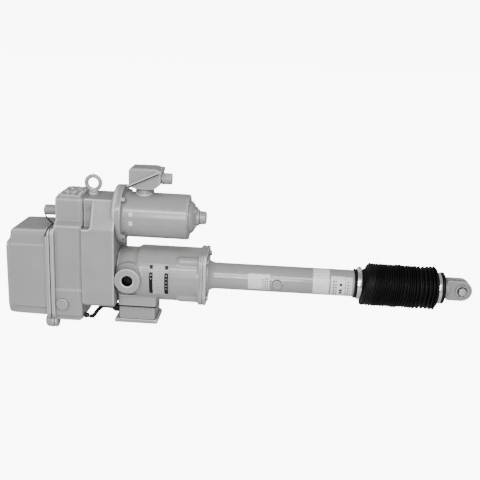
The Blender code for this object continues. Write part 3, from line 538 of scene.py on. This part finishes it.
def cast_texture():
    """Low random ridges and lumps on the raised pad on top of the middle housing."""
    rng = random.Random(19)
    pieces = []
    for row in range(7):
        for column in range(10):
            if rng.random() < 0.16:
                continue
            x = -196.0 + row * 9.0 + rng.uniform(-1.2, 1.2)
            y = -53.0 + column * 11.6 + rng.uniform(-1.5, 1.5)
            lump = bmesh.new()
            outline = rounded_rectangle(rng.uniform(1.5, 2.8), rng.uniform(2.2, 4.6), 1.2, 2, (x, y))
            add_prism(lump, outline, (226.0, 230.8 + rng.uniform(0.0, 2.6)), "z")
            turn = Matrix.Rotation(rng.uniform(-0.9, 0.9), 3, "Z")
            bmesh.ops.rotate(lump, cent=(x, y, 228.0), matrix=turn, verts=lump.verts)
            pieces.append(lump)
    return pieces


def build_castings():
    coarse = 1.7
    passes = 8
    for node, look, extras in (
        ("gear_case", PAINT, ()), ("middle_housing", PAINT, cast_texture()), ("rear_cover", PAINT, ()),
        ("screw_housing", PAINT_BODY, ()),
    ):
        obj = cast_copy(node, node + "_cast", look, coarse, passes, extras)
        finish(obj, "root", "grey_paint", node)
    for node in ("terminal_box_base", "terminal_box_cover", "junction_box_base", "junction_box_lid"):
        obj = cast_copy(node, node + "_cast", PAINT_BOX, coarse * 0.6, 2)
        finish(obj, "root", "grey_paint", node)
    fork = cast_copy("rod_fork", "rod_fork_cast", PAINT_FORK, coarse * 0.5, 3)
    finish(fork, "rod", "grey_paint", "rod_fork")


# ---------------------------------------------------------------- turned covers and tubes

def turned_piece(name, profile, material, body, slot_name, replaced=(), axis="x", centre=(0.0, 0.0),
                 steps=96, radius=1.5, closed=True):
    """A turned piece from its profile, with corners of the radius; a closed profile is a ring's section."""
    bm = bmesh.new()
    add_turned(bm, filleted(profile, radius, loop=closed), axis, centre, steps, closed)
    return finish(object_from(bm, name, material, 50.0), body, slot_name, *replaced)


def build_motor_shells():
    """Barrel with its flange, the stepped brake cover behind it, and the small shaft cap."""
    axis = (0.0, MOTOR_Z)
    barrel = [
        (-35.7, 57.0), (-35.7, 84.0), (-22.2, 84.0), (-22.2, 68.0), (-18.0, BARREL_RADIUS),
        (157.8, BARREL_RADIUS), (157.8, 57.0),
    ]
    turned_piece("motor_barrel", barrel, PAINT_SMOOTH, "root", "grey_paint", ("motor_frame",), centre=axis,
                 radius=2.0)
    cover = [
        (158.4, 44.0), (158.4, 63.8), (160.6, 63.8), (161.2, 47.3), (166.0, 46.5), (170.4, 43.6),
        (174.8, 37.8), (178.8, 30.4), (181.3, 24.4), (184.0, 24.2), (189.0, 23.6), (189.0, 16.5),
        (180.0, 16.5), (172.5, 27.0), (166.0, 38.5),
    ]
    turned_piece("brake_end_cover", cover, PAINT_SMOOTH, "root", "grey_paint", ("brake_cover",), centre=axis)
    low, high = lowest("motor_shaft_cap"), highest("motor_shaft_cap")
    cap = [
        (low[0], 0.0), (low[0], 17.5), (low[0] + 2.0, 19.4), (low[0] + 5.0, 19.8), (low[0] + 5.6, 18.6),
        (high[0] - 4.0, 18.6), (high[0] - 1.0, 17.0), (high[0], 14.0), (high[0], 0.0),
    ]
    turned_piece("shaft_end_cap", cap, PAINT_SMOOTH, "root", "grey_paint", ("motor_shaft_cap",),
                 centre=axis, radius=0.8, closed=False)


def build_tube():
    """Cylinder tube with its flared root, plug boss and square flange."""
    bm = bmesh.new()
    low, high = lowest("outer_tube"), highest("outer_tube")
    flare = [
        (213.0, 33.0), (213.0, 51.5), (220.2, 50.0), (223.0, 44.5), (229.0, 40.6),
        (238.0, TUBE_RADIUS), (high[0], TUBE_RADIUS), (high[0], 33.0),
    ]
    add_turned(bm, filleted(flare, 1.2, loop=True), steps=128, closed=True)
    boss = [(-36.0, 0.0), (-36.0, 15.4), (-41.5, 15.4), (-41.5, 0.0)]
    add_turned(bm, filleted(boss, 1.0), "y", GREASE_PLUG, 48)
    finish(object_from(bm, "cylinder_tube", PAINT_TUBE, 50.0), "root", "grey_paint", "outer_tube")
    flange = bmesh.new()
    add_prism(flange, rounded_rectangle(74.8, 74.8, 30.0, 10), (low[0] + 0.2, 218.4))
    flange_obj = bevelled(object_from(flange, "tube_flange", PAINT), 2.2)
    finish(flange_obj, "root", "grey_paint")
    plug = [(-41.8, 0.0), (-41.8, 12.0), (-43.0, 12.5), (-47.4, 12.5), (-48.4, 11.2), (-48.4, 0.0)]
    turned_piece("tube_plug", plug, PAINT_SMOOTH, "root", "grey_paint", ("grease_plug",), "y",
                 GREASE_PLUG, 48, 0.5, False)
    for name, span, inner, outer, centre in (
        ("tube_plug_gasket", (-42.1, -41.3), 11.0, 13.9, GREASE_PLUG),
        ("drain_plug_washer", (-94.3, -92.7), 15.5, 18.5, DRAIN_PLUG),
    ):
        ring = [(span[0], inner), (span[0], outer), (span[1], outer), (span[1], inner)]
        turned_piece(name, ring, RUBBER, "root", "black_rubber", (), "y", centre, 64, 0.1)
    drain = [(-93.9, 0.0), (-93.9, 17.4), (-98.5, 17.4), (-100.4, 15.4), (-100.4, 0.0)]
    turned_piece("drain_plug_head", drain, PAINT_SMOOTH, "root", "grey_paint", ("drain_plug",), "y",
                 DRAIN_PLUG, 64, 1.2, False)


def build_caps():
    axis = (0.0, MOTOR_Z)
    cap = [
        (-254.9, 0.0), (-254.9, 12.6), (-252.6, 15.0), (-213.0, 15.0), (-212.0, 15.8), (-210.8, 18.0),
        (-205.4, 18.0), (-205.4, 0.0),
    ]
    turned_piece("handle_cap", cap, PAINT_SMOOTH, "root", "grey_paint", ("handle_shaft_cap",),
                 centre=axis, steps=48, radius=0.8, closed=False)
    low, high = lowest("conduit_hub"), highest("conduit_hub")
    centre_z = (low[2] + high[2]) / 2
    outer = [(low[0], 11.2), (low[0], 16.4), (low[0] + 0.4, 16.7), (low[0] + 3.4, 16.7), (low[0] + 4.0, 15.9)]
    pitch = 1.5
    along = outer[-1][0]
    while along < high[0] - 3.0:
        outer += [(along + 0.3, 15.75), (along + 0.75, 16.1), (along + 1.2, 15.75)]
        along += pitch
    outer += [(high[0] - 0.8, 15.9), (high[0], 15.1), (high[0], 12.5), (high[0] - 9.0, 11.2)]
    bm = bmesh.new()
    add_turned(bm, outer, centre=(0.0, centre_z), steps=64, closed=True)
    finish(object_from(bm, "conduit_thread", PAINT_SMOOTH, 60.0), "root", "grey_paint", "conduit_hub")
    for name, node, axis_yz in (
        ("box_gland", "junction_box_gland", BOX_GLAND), ("case_gland", "housing_gland", CASE_GLAND),
    ):
        low, high = lowest(node), highest(node)
        span = high[0] - low[0]
        if node == "junction_box_gland":
            shape = [(0.0, 4.9), (0.0, 6.8), (0.34, 12.6), (0.36, 13.0), (0.74, 13.0), (0.78, 10.9),
                     (1.0, 10.9), (1.0, 4.9)]
        else:
            shape = [(0.02, 4.9), (0.02, 8.0), (0.4, 8.0), (0.42, 7.2), (0.75, 6.8), (1.0, 5.8), (1.0, 4.9)]
        profile = [(low[0] + span * along, radius) for along, radius in shape]
        turned_piece(name, profile, PLASTIC, "root", "black_plastic", (node,), centre=axis_yz, steps=48,
                     radius=0.6)


def add_tube(bm, route, radius, sides=20, smooth=4):
    """A round tube along a smooth curve through the route points."""
    points = [Vector(p) for p in route]
    path = []
    for i in range(len(points) - 1):
        p0, p1, p2 = points[max(i - 1, 0)], points[i], points[i + 1]
        p3 = points[min(i + 2, len(points) - 1)]
        for k in range(smooth):
            t = k / smooth
            square = (2 * p0 - 5 * p1 + 4 * p2 - p3) * t * t
            cube = (3 * p1 - p0 - 3 * p2 + p3) * t ** 3
            path.append(0.5 * (2 * p1 + (p2 - p0) * t + square + cube))
    path.append(points[-1])
    side = Vector((0.0, 0.0, 1.0))
    rows = []
    for i, point in enumerate(path):
        ahead = (path[min(i + 1, len(path) - 1)] - path[max(i - 1, 0)]).normalized()
        side = (side - ahead * side.dot(ahead)).normalized()
        over = ahead.cross(side)
        rows.append([bm.verts.new(point + side * a + over * b) for a, b in ring_points(radius, sides)])
    for one, two in zip(rows, rows[1:]):
        for i in range(sides):
            j = (i + 1) % sides
            bm.faces.new((one[i], one[j], two[j], two[i]))
    bm.faces.new(rows[0])
    bm.faces.new(rows[-1])
    return path


CHAIN_ROUTE = (
    (-257.2, 0, 173), (-257.5, -2, 167), (-252.5, -10, 159.5), (-241, -28, 153.5),
    (-226.5, -51, 151), (-212.5, -73, 150.8), (-208.8, -82, 150.2), (-211.5, -91, 147.8),
    (-217, -99, 141.5), (-221.5, -104, 132), (-223.5, -105.6, 125), (-224, -105.6, 119),
)
LEAD_ROUTE = (
    (-62.4, -10, -111.5), (-69, -10.4, -111.3), (-77, -14, -108.8), (-85, -22.5, -106.5),
    (-92, -34, -108.5), (-98, -45.5, -115), (-102.5, -54, -121.3), (-106.5, -59, -124.6),
    (-110.5, -61.6, -123.8), (-114, -62, -121.6),
)


def add_bead(bm, centre, radius):
    made = bmesh.ops.create_icosphere(bm, subdivisions=2, radius=radius)
    bmesh.ops.translate(bm, vec=centre, verts=made["verts"])


def build_lead_and_chain():
    lead = bmesh.new()
    add_tube(lead, LEAD_ROUTE, 5.6, 24, 8)
    finish(object_from(lead, "control_lead_smooth", RUBBER), "root", "black_rubber", "control_lead")
    chain = bmesh.new()
    path = add_tube(chain, CHAIN_ROUTE, 0.8, 8, 5)
    spacing = 4.6
    travelled = 0.0
    for one, two in zip(path, path[1:]):
        length = (two - one).length
        while travelled < length:
            add_bead(chain, one.lerp(two, travelled / length), 2.1)
            travelled += spacing
        travelled -= length
    finish(object_from(chain, "cap_bead_chain", CHAIN_METAL), "root", "bright_metal", "cap_chain")


def build_eye():
    """Forged lifting eye: ring, thick neck and collar."""
    bm = bmesh.new()
    major, minor = 19.6, 5.6
    steps, sides = 64, 24
    rows = []
    for i in range(steps):
        angle = 2 * pi * i / steps
        rows.append([])
        for a, b in ring_points(minor, sides):
            x = EYE[0] + (major + a) * cos(angle)
            z = EYE[2] + (major + a) * sin(angle)
            rows[-1].append(bm.verts.new((x, EYE[1] + b, z)))
    for one, two in zip(rows, rows[1:] + rows[:1]):
        for k in range(sides):
            j = (k + 1) % sides
            bm.faces.new((one[k], two[k], two[j], one[j]))
    low = lowest("eye_bolt")
    collar = [
        (low[2], 0.0), (low[2], 8.0), (229.4, 8.0), (229.4, 13.4), (232.5, 13.4), (235.0, 9.0),
        (238.0, 6.6), (238.0, 0.0),
    ]
    add_turned(bm, filleted(collar, 0.9), "z", (EYE[0], EYE[1]), 40)
    finish(object_from(bm, "lifting_eye", PAINT_SMOOTH, 60.0), "root", "bright_metal", "eye_bolt")


# ---------------------------------------------------------------- fasteners

def add_hex_head(bm, axis, base, height, across_flats, centre, turn=0.0, washer=0.0):
    """Hexagon head standing on base along the axis; a negative height points the other way."""
    direction = 1.0 if height > 0 else -1.0
    start = base
    if washer:
        start = base + direction * 1.6
        add_turned(bm, [(base, 0.0), (base, washer), (start, washer), (start, 0.0)], axis, centre, 32)
    corner = across_flats / 2 / cos(pi / 6)
    rows = []
    for along, scale in ((start, 1.0), (base + height - direction * 0.9, 1.0), (base + height, 0.88)):
        rows.append([
            bm.verts.new(place(axis, along, centre[0] + a * scale, centre[1] + b * scale))
            for a, b in ring_points(corner, 6, turn)
        ])
    for one, two in zip(rows, rows[1:]):
        for i in range(6):
            j = (i + 1) % 6
            bm.faces.new((one[i], one[j], two[j], two[i]))
    bm.faces.new(rows[0])
    bm.faces.new(rows[-1])


def add_pan_head(bm, axis, base, height, radius, centre):
    direction = 1.0 if height > 0 else -1.0
    profile = [(base, 0.0), (base, radius), (base + height * 0.5, radius), (base + height, radius * 0.6),
               (base + height, 0.25 * radius), (base + height - direction * 0.5, 0.0)]
    add_turned(bm, profile, axis, centre, 20)


def build_fasteners():
    rng = random.Random(41)
    bolts = bmesh.new()
    for sy in (-1, 1):
        for sz in (-1, 1):
            motor_bolt = (sy * MOTOR_BOLTS, MOTOR_Z + sz * MOTOR_BOLTS)
            add_hex_head(bolts, "x", -22.1, 9.0, 15.0, motor_bolt, rng.random(), 9.5)
            tube_bolt = (sy * TUBE_BOLTS, sz * TUBE_BOLTS)
            add_hex_head(bolts, "x", 218.4, 5.6, 14.0, tube_bolt, rng.random(), 9.0)
        cover_screw = (sy * COVER_SCREWS[0], COVER_SCREWS[1])
        add_hex_head(bolts, "x", -240.8, -2.0, 9.0, cover_screw, rng.random())
        add_hex_head(bolts, "x", -203.6, 2.0, 9.0, cover_screw, rng.random())
        add_hex_head(bolts, "y", sy * 57.8, sy * 6.0, 12.0, (-117.0, 196.0), rng.random(), 8.0)
    finish(object_from(bolts, "painted_bolts", PAINT_BOLT, 25.0), "root", "machined_steel")

    screws = bmesh.new()
    for circle, first, base, height in ((56.0, 35, 160.2, 2.6), (30.5, 45, 176.0, 6.5)):
        for angle in range(first, first + 360, 90):
            a, b = circle * cos(radians(angle)), circle * sin(radians(angle))
            add_hex_head(screws, "x", base, height, 7.0, (a, MOTOR_Z + b), rng.random())
    box_floor = lowest("junction_box_lid")[2]
    middle, half_x, half_y = BOX_SCREWS
    for sx in (-1, 1):
        for sy in (-1, 1):
            centre = (middle + sx * half_x, sy * half_y)
            add_pan_head(screws, "z", box_floor + 0.2, -1.4, 3.6, centre)
            add_pan_head(screws, "z", -134.0, 2.4, 3.4, centre)
    finish(object_from(screws, "small_screws", PAINT_BOLT, 25.0), "root", "machined_steel")


def joint_z(x):
    """Height of the slanted joint of the terminal box."""
    return JOINT_LOW[1] + JOINT_SLOPE * (x - JOINT_LOW[0])


def build_terminal_screws():
    """Screws through the slanted lips of the terminal box."""
    bm = bmesh.new()
    for x, y in ((66.5, -38.2), (80.0, -34.0), (80.0, 4.0), (80.0, 34.0), (-8.6, -34.0), (-8.6, 34.0)):
        head = bmesh.new()
        add_pan_head(head, "z", 5.2, 3.0, 3.2, (0.0, 0.0))
        tilt = Matrix.Rotation(-atan2(JOINT_SLOPE, 1.0), 3, "Y")
        bmesh.ops.rotate(head, cent=(0, 0, 0), matrix=tilt, verts=head.verts)
        bmesh.ops.translate(head, vec=(x, y, joint_z(x)), verts=head.verts)
        absorb(bm, head)
    finish(object_from(bm, "terminal_box_screws", PAINT_BOLT, 25.0), "root", "machined_steel")


def build_gasket_and_lip_shadow():
    """Thick soft gasket pressed between the two slanted lips, black and thick enough to stand as painted
    shadow under the cover's lip; it shows as a dark line.
    """
    # Painted shadow: the strip is made thicker than a gasket to show the shade under the overhanging lip
    low, high = -11.3, 79.0
    below, above = 2.2, 0.9
    outline = [
        (low, joint_z(low) - below), (high, joint_z(high) - below), (high, joint_z(high) + above),
        (low, joint_z(low) + above),
    ]
    bm = bmesh.new()
    add_prism(bm, outline, (-40.5, 40.5), "y")
    finish(object_from(bm, "terminal_gasket_and_lip_shadow", RUBBER, 30.0), "root", "black_rubber")


def build_sockets():
    """Dark discs at the bottom of the trunnion bores, painted shade that keeps the bores black, and the
    gasket on top of the junction box.
    """
    bm = bmesh.new()
    # Painted shade: dark discs deep in the bores keep the holes black
    for side in (-1, 1):
        near, far = sorted((side * 66.1, side * 67.0))
        disc = [(near, 0.0), (near, TRUNNION_BORE), (far, TRUNNION_BORE), (far, 0.0)]
        add_turned(bm, disc, "y", (0.0, 0.0), 48)
    finish(object_from(bm, "trunnion_bore_shade_discs", RUBBER), "root", "machined_steel")
    top = highest("junction_box_base")[2]
    gasket = bmesh.new()
    add_prism(gasket, rounded_rectangle(54.8, 52.8, 7.0, 4, (20.4, 0.0)), (top - 2.4, top - 0.05), "z")
    finish(object_from(gasket, "junction_box_gasket", RUBBER), "root", "black_rubber")


# ---------------------------------------------------------------- bellows and clamps

BELLOWS_X = (668.0, 868.5)
PLEATS = 27
LEAN = 10.0
LARGEST_RADIUS = 62.5
REAR_CUFF = (
    (637.5, 42.3), (640.0, 42.6), (643.0, 41.2), (646.0, 40.4), (657.0, 40.4), (657.4, 41.3),
    (661.5, 44.0), (664.0, 50.0), (666.5, 56.0), (668.0, 59.0),
)
FRONT_CUFF = (
    (869.6, 56.0), (870.6, 50.0), (871.6, 45.4), (872.8, 42.4), (874.0, 41.2), (883.0, 41.2),
    (884.0, 43.4), (885.5, 44.2), (890.5, 44.0), (892.4, 42.8), (893.0, 41.0), (893.0, 30.0),
)
BELLOWS_INSIDE = (
    (891.0, 29.0), (870.0, 47.0), (860.0, 51.0), (674.0, 51.0), (664.0, 42.0), (660.0, 38.6), (637.5, 38.6),
)


def pleat_rings(rng):
    """Rings of (along, radius) for uneven pleats, which grow wider and deeper towards the fork."""
    start, end = BELLOWS_X
    marks = [0.0]
    for i in range(PLEATS):
        uneven = 1.0 + 0.35 * (rng.random() - 0.5) + 0.25 * sin(i * 0.9)
        marks.append(marks[-1] + uneven + 0.7 * smoothstep((i - 19) / 4))
    marks = [m / marks[-1] for m in marks]
    tallest = 61.6
    rings = []
    for i in range(PLEATS):
        deeper = 0.3 * smoothstep((i - 10) / 6) + 0.5 * smoothstep((i - 19) / 4)
        height = 1.0 + 0.4 * (rng.random() - 0.5) + deeper
        valley = tallest - 5.4 * height - 1.0
        crest = tallest + 0.4 - 1.6 * rng.random()
        if i < 3:
            valley = crest - 2.6
        for t, radius in (
            (0.16, valley + 1.2), (0.32, mix(valley, crest, 0.62)), (0.5, crest), (0.66, crest - 0.4),
            (0.84, mix(valley, crest, 0.5)), (1.0, valley),
        ):
            rings.append((mix(start, end, mix(marks[i], marks[i + 1], t)), radius))
    return rings


def build_bellows():
    """Sewn cloth bellows: uneven pleats that lean at the rear end, and dark cuffs under the clamps."""
    start, end = BELLOWS_X
    rings = [(along, radius, 0.0) for along, radius in REAR_CUFF]
    rings += [(along, radius, 1.0) for along, radius in pleat_rings(random.Random(7))]
    rings += [(along, radius, 0.0) for along, radius in FRONT_CUFF]
    bm = bmesh.new()
    steps = 144
    rows = []
    for along, radius, free in rings:
        row = []
        reach = smoothstep((along - 640.0) / 25.0)
        fade = 1.0 - smoothstep((along - start) / (end - start) * 1.1)
        for k in range(steps):
            angle = 2 * pi * k / steps
            y, z = -cos(angle), sin(angle)
            wander = noise.noise(Vector((along * 0.035, y * 1.4, z * 1.4)))
            crinkle = noise.noise(Vector((along * 0.19, y * 5.0, z * 5.0)))
            sag = -0.9 * smoothstep((along - start) / 40.0) * (1 - smoothstep((along - end + 40) / 40.0))
            r = radius + free * (1.1 * wander + 1.0 * crinkle)
            r = min(r, LARGEST_RADIUS)
            shift = free * (1.5 * wander + 1.1 * crinkle) + LEAN * z * fade * reach * free
            if not free and 661.0 < along < 669.0:
                rise = (along - 661.5) / 6.5
                shift = z * (8.0 + 2.0 * rise if z > 0 else 4.0 + 6.0 * rise)
            if not free and along > 883.5:
                r += 2.2 * max(0.0, z)
            x = along + shift
            row.append(bm.verts.new((x, r * y, r * z + sag)))
        rows.append(row)
    for along, radius in BELLOWS_INSIDE:
        rows.append([bm.verts.new((along, -a, b)) for a, b in ring_points(radius, steps)])
    for one, two in zip(rows, rows[1:] + rows[:1]):
        for k in range(steps):
            j = (k + 1) % steps
            bm.faces.new((one[k], one[j], two[j], two[k]))
    bmesh.ops.recalc_face_normals(bm, faces=bm.faces)
    bmesh.ops.scale(bm, vec=(MM, MM, MM), verts=bm.verts)
    mesh = bpy.data.meshes.new("bellows_folds")
    bm.to_mesh(mesh)
    bm.free()
    mesh.shade_smooth()
    mesh.materials.append(BELLOWS_CLOTH)
    obj = added("bellows_folds", mesh)
    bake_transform(obj)
    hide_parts("bellows")


CLAMP_SLOTS = 26


def hose_clamp(name, node, body, side):
    """Slotted worm-drive band; side is where its screw block sits round the cuff, in degrees."""
    low, high = lowest(node), highest(node)
    middle = (low[0] + high[0]) / 2
    half = (high[0] - low[0]) / 2
    bm = bmesh.new()
    band = [(-half, 42.9), (-half, 43.9), (-half + 0.8, 44.2), (half - 0.8, 44.2), (half, 43.9), (half, 42.9)]
    add_turned(bm, [(middle + a, r) for a, r in band], steps=120, closed=True)
    for k in range(CLAMP_SLOTS):
        angle = radians(side) + radians(25 + 11.0 * k)
        if k % 2 and k > 18:  # every other slot is left out on the last part of the band
            continue
        slot = bmesh.new()
        bmesh.ops.create_cube(slot, size=1.0)
        bmesh.ops.scale(slot, vec=(half * 1.1, 0.3, 1.5), verts=slot.verts)
        bmesh.ops.translate(slot, vec=(middle, -44.35, 0.0), verts=slot.verts)
        bmesh.ops.rotate(slot, cent=(0, 0, 0), matrix=Matrix.Rotation(-angle, 3, "X"), verts=slot.verts)
        absorb(bm, slot)
    block = bmesh.new()
    outline = rounded_rectangle(7.0, 2.6, 1.4, 4, (0.0, 46.8))
    add_prism(block, outline, (middle - half * 0.95, middle + half * 0.95))
    worm = bmesh.new()
    profile = [(-9.5, 0.0), (-9.5, 3.4), (7.0, 3.4), (7.0, 2.6), (11.0, 2.6), (11.0, 0.0)]
    add_turned(worm, filleted(profile, 0.4), "y", (middle, 47.6), 24)
    turn = Matrix.Rotation(-radians(side - 90), 3, "X")
    for extra in (block, worm):
        bmesh.ops.rotate(extra, cent=(0, 0, 0), matrix=turn, verts=extra.verts)
        absorb(bm, extra)
    finish(object_from(bm, name, BAND, 30.0), body, "bright_metal", node)


# ---------------------------------------------------------------- fork pin

def build_fork_pin():
    low, high = lowest("fork_pin"), highest("fork_pin")
    radius = 11.6
    axis = (FORK_PIN_X, 0.0)
    head = 17.0
    pin = [
        (low[1], 0.0), (low[1], radius - 1.6), (low[1] + 1.6, radius), (19.3, radius), (19.3, head),
        (high[1] - 1.0, head), (high[1], head - 1.5), (high[1], 0.0),
    ]
    bm = bmesh.new()
    add_turned(bm, filleted(pin, 0.4), "y", axis, 64)
    finish(object_from(bm, "fork_pin_turned", ZINC, 40.0), "pin", "machined_steel", "fork_pin")
    washer = [
        (-21.9, radius + 0.3), (-21.9, 18.8), (-21.3, 19.4), (-19.9, 19.4), (-19.4, 18.9),
        (-19.4, radius + 0.3),
    ]
    ring = bmesh.new()
    add_turned(ring, washer, "y", axis, 64, True)
    finish(object_from(ring, "fork_washer", STEEL, 30.0), "pin", "machined_steel", "pin_washer")
    # Painted shade: a thin black ring round the pin stands for the dark gap between the pin and the fork
    gap = [(-22.3, radius + 0.4), (-22.3, 14.3), (-21.8, 14.3), (-21.8, radius + 0.4)]
    turned_piece("pin_gap_shade_ring", gap, RUBBER, "pin", "black_rubber", (), "y", axis, 64, 0.1)
    cotter = bmesh.new()
    y = -25.0
    x = FORK_PIN_X
    loop = [
        (x, y, -9), (x, y, 10), (x - 1.2, y, 13), (x - 3.4, y, 15.5), (x - 1.6, y, 18.2), (x + 1.2, y, 18.2),
        (x + 3.0, y, 15.8), (x + 1.2, y, 13.0), (x + 0.9, y, 10),
    ]
    rear_leg = [
        (x - 0.6, y, -9), (x - 0.6, y - 0.2, -13), (x - 4.0, y - 0.3, -15.6), (x - 9.5, y - 0.3, -15.0),
    ]
    front_leg = [
        (x + 0.6, y, -9), (x + 0.6, y - 0.2, -13.5), (x + 3.6, y - 0.3, -16.0), (x + 8.0, y - 0.3, -15.8),
    ]
    add_tube(cotter, loop, 0.9, 10)
    add_tube(cotter, rear_leg, 0.85, 10)
    add_tube(cotter, front_leg, 0.85, 10)
    finish(object_from(cotter, "cotter_pin", STEEL, 60.0), "pin", "machined_steel")


# ---------------------------------------------------------------- plates and stickers

def add_wrapped(bm, span, radius, thickness, arc, steps=24):
    """A plate bent round the X axis; arc runs up from the front of the cylinder, in degrees."""
    grid = []
    for r in (radius, radius + thickness):
        layer = []
        for i in range(steps + 1):
            angle = radians(mix(arc[0], arc[1], i / steps))
            layer.append([bm.verts.new((x, -r * cos(angle), r * sin(angle))) for x in span])
        grid.append(layer)
    inner, outer = grid
    for i in range(steps):
        bm.faces.new((outer[i][0], outer[i][1], outer[i + 1][1], outer[i + 1][0]))
        bm.faces.new((inner[i][0], inner[i + 1][0], inner[i + 1][1], inner[i][1]))
        for side in (0, 1):
            bm.faces.new((inner[i][side], inner[i + 1][side], outer[i + 1][side], outer[i][side]))
    for i in (0, steps):
        bm.faces.new((inner[i][0], inner[i][1], outer[i][1], outer[i][0]))


def wrapped_piece(name, span, radius, thickness, arc, material, replaced=()):
    bm = bmesh.new()
    add_wrapped(bm, span, radius, thickness, arc)
    return finish(object_from(bm, name, material, 30.0), "root", "label_film", *replaced)


def build_plates():
    face = (58.0, 114.5)
    wrapped_piece("nameplate_face", face, BODY_RADIUS + 0.5, 0.5, (-31.5, 36.0), PLATE, ("nameplate",))
    bars = bmesh.new()
    over = BODY_RADIUS + 1.0
    for span in ((59.3, 69.5), (102.3, 113.2)):
        add_wrapped(bars, span, over, 0.18, (-30.0, 17.5))
        add_wrapped(bars, (span[0] + 0.5, span[1] - 1.0), over, 0.18, (24.5, 32.5), 4)
    finish(object_from(bars, "nameplate_bars", INK, 30.0), "root", "label_film")
    marks = bmesh.new()
    for x, count in ((64.5, 2), (107.5, 5)):
        for k in range(count):
            low = 13.0 - k * 7.2
            add_wrapped(marks, (x - 0.9, x + 0.9), over + 0.18, 0.1, (low - 2.0, low), 3)
    rivets = ((72.5, -29.5), (72.5, 34.0), (99.5, -29.5), (99.5, 34.0))
    for x, angle in rivets:
        a = radians(angle)
        add_bead(marks, Vector((x, -(over - 0.4) * cos(a), (over - 0.4) * sin(a))), 1.4)
    finish(object_from(marks, "nameplate_marks", STICKER, 30.0), "root", "label_film")
    film = TUBE_RADIUS + 0.05
    for name, span, arc in (
        ("sticker_rating", (336.0, 397.0), (-38.0, 36.0)),
        ("sticker_wrap", (520.0, 566.0), (-92.0, 92.0)),
        ("sticker_data", (571.0, 611.0), (-60.0, 45.0)),
        ("sticker_serial", (613.0, 631.0), (-58.0, 42.0)),
    ):
        wrapped_piece(name, span, film, 0.22, arc, STICKER)
    dots = bmesh.new()
    over = film + 0.22
    for k in range(5):
        for x, width in ((378.5, 2.8), (385.0, 4.0), (391.0, 3.4)):
            low = -33.0 + 11.0 * k + (3.0 if x == 385.0 else 0.0)
            add_wrapped(dots, (x - width / 2, x + width / 2), over, 0.08, (low, low + 5.0), 3)
    for k in range(6):
        low = -48.0 + 13.0 * k
        add_wrapped(dots, (577.5, 580.5), over, 0.08, (low, low + 9.0), 4)
        add_wrapped(dots, (583.5, 587.0), over, 0.08, (low + 2, low + 8.0), 4)
        if k in (1, 2, 4):
            add_wrapped(dots, (595.0, 602.5), over, 0.08, (low, low + 9.5), 4)
        add_wrapped(dots, (617.5, 620.5), over, 0.08, (low, low + 7.0), 4)
        add_wrapped(dots, (624.0, 626.0), over, 0.08, (low + 3.0, low + 8.0), 4)
    finish(object_from(dots, "sticker_marks", INK, 30.0), "root", "label_film")
    tags = bmesh.new()
    for arc in ((8.0, 18.0), (-16.0, -5.0)):
        add_wrapped(tags, (-1.5, 9.0), BARREL_RADIUS + 0.05, 0.2, arc, 6)
    bmesh.ops.translate(tags, vec=(0.0, 0.0, MOTOR_Z), verts=tags.verts)
    finish(object_from(tags, "motor_tags", STICKER, 30.0), "root", "label_film")


# ---------------------------------------------------------------- carried-over nodes

def dress_nodes():
    looks = {
        "grey_paint": PAINT_SMOOTH, "machined_steel": STEEL, "bronze": BRONZE, "black_rubber": RUBBER,
        "black_plastic": PLASTIC, "label_film": PLATE, "stator_winding": COPPER, "bright_metal": ZINC,
    }
    slots = {row["node"]: row["material_slot"] for row in frame["record"]["subparts"]}
    for name, obj in NODES.items():
        look = CHROME if name == "rod_tube" else looks[slots[name]]
        for slot in obj.material_slots:
            slot.material = look


def main():
    build_camera()
    build_stage()
    dress_nodes()
    build_castings()
    build_motor_shells()
    build_tube()
    build_caps()
    build_lead_and_chain()
    build_eye()
    build_fasteners()
    build_terminal_screws()
    build_gasket_and_lip_shadow()
    build_sockets()
    build_bellows()
    hose_clamp("rear_hose_clamp", "bellows_clamp_rear", "root", 82.0)
    hose_clamp("front_hose_clamp", "bellows_clamp_front", "rod", 215.0)
    build_fork_pin()
    build_plates()


main()
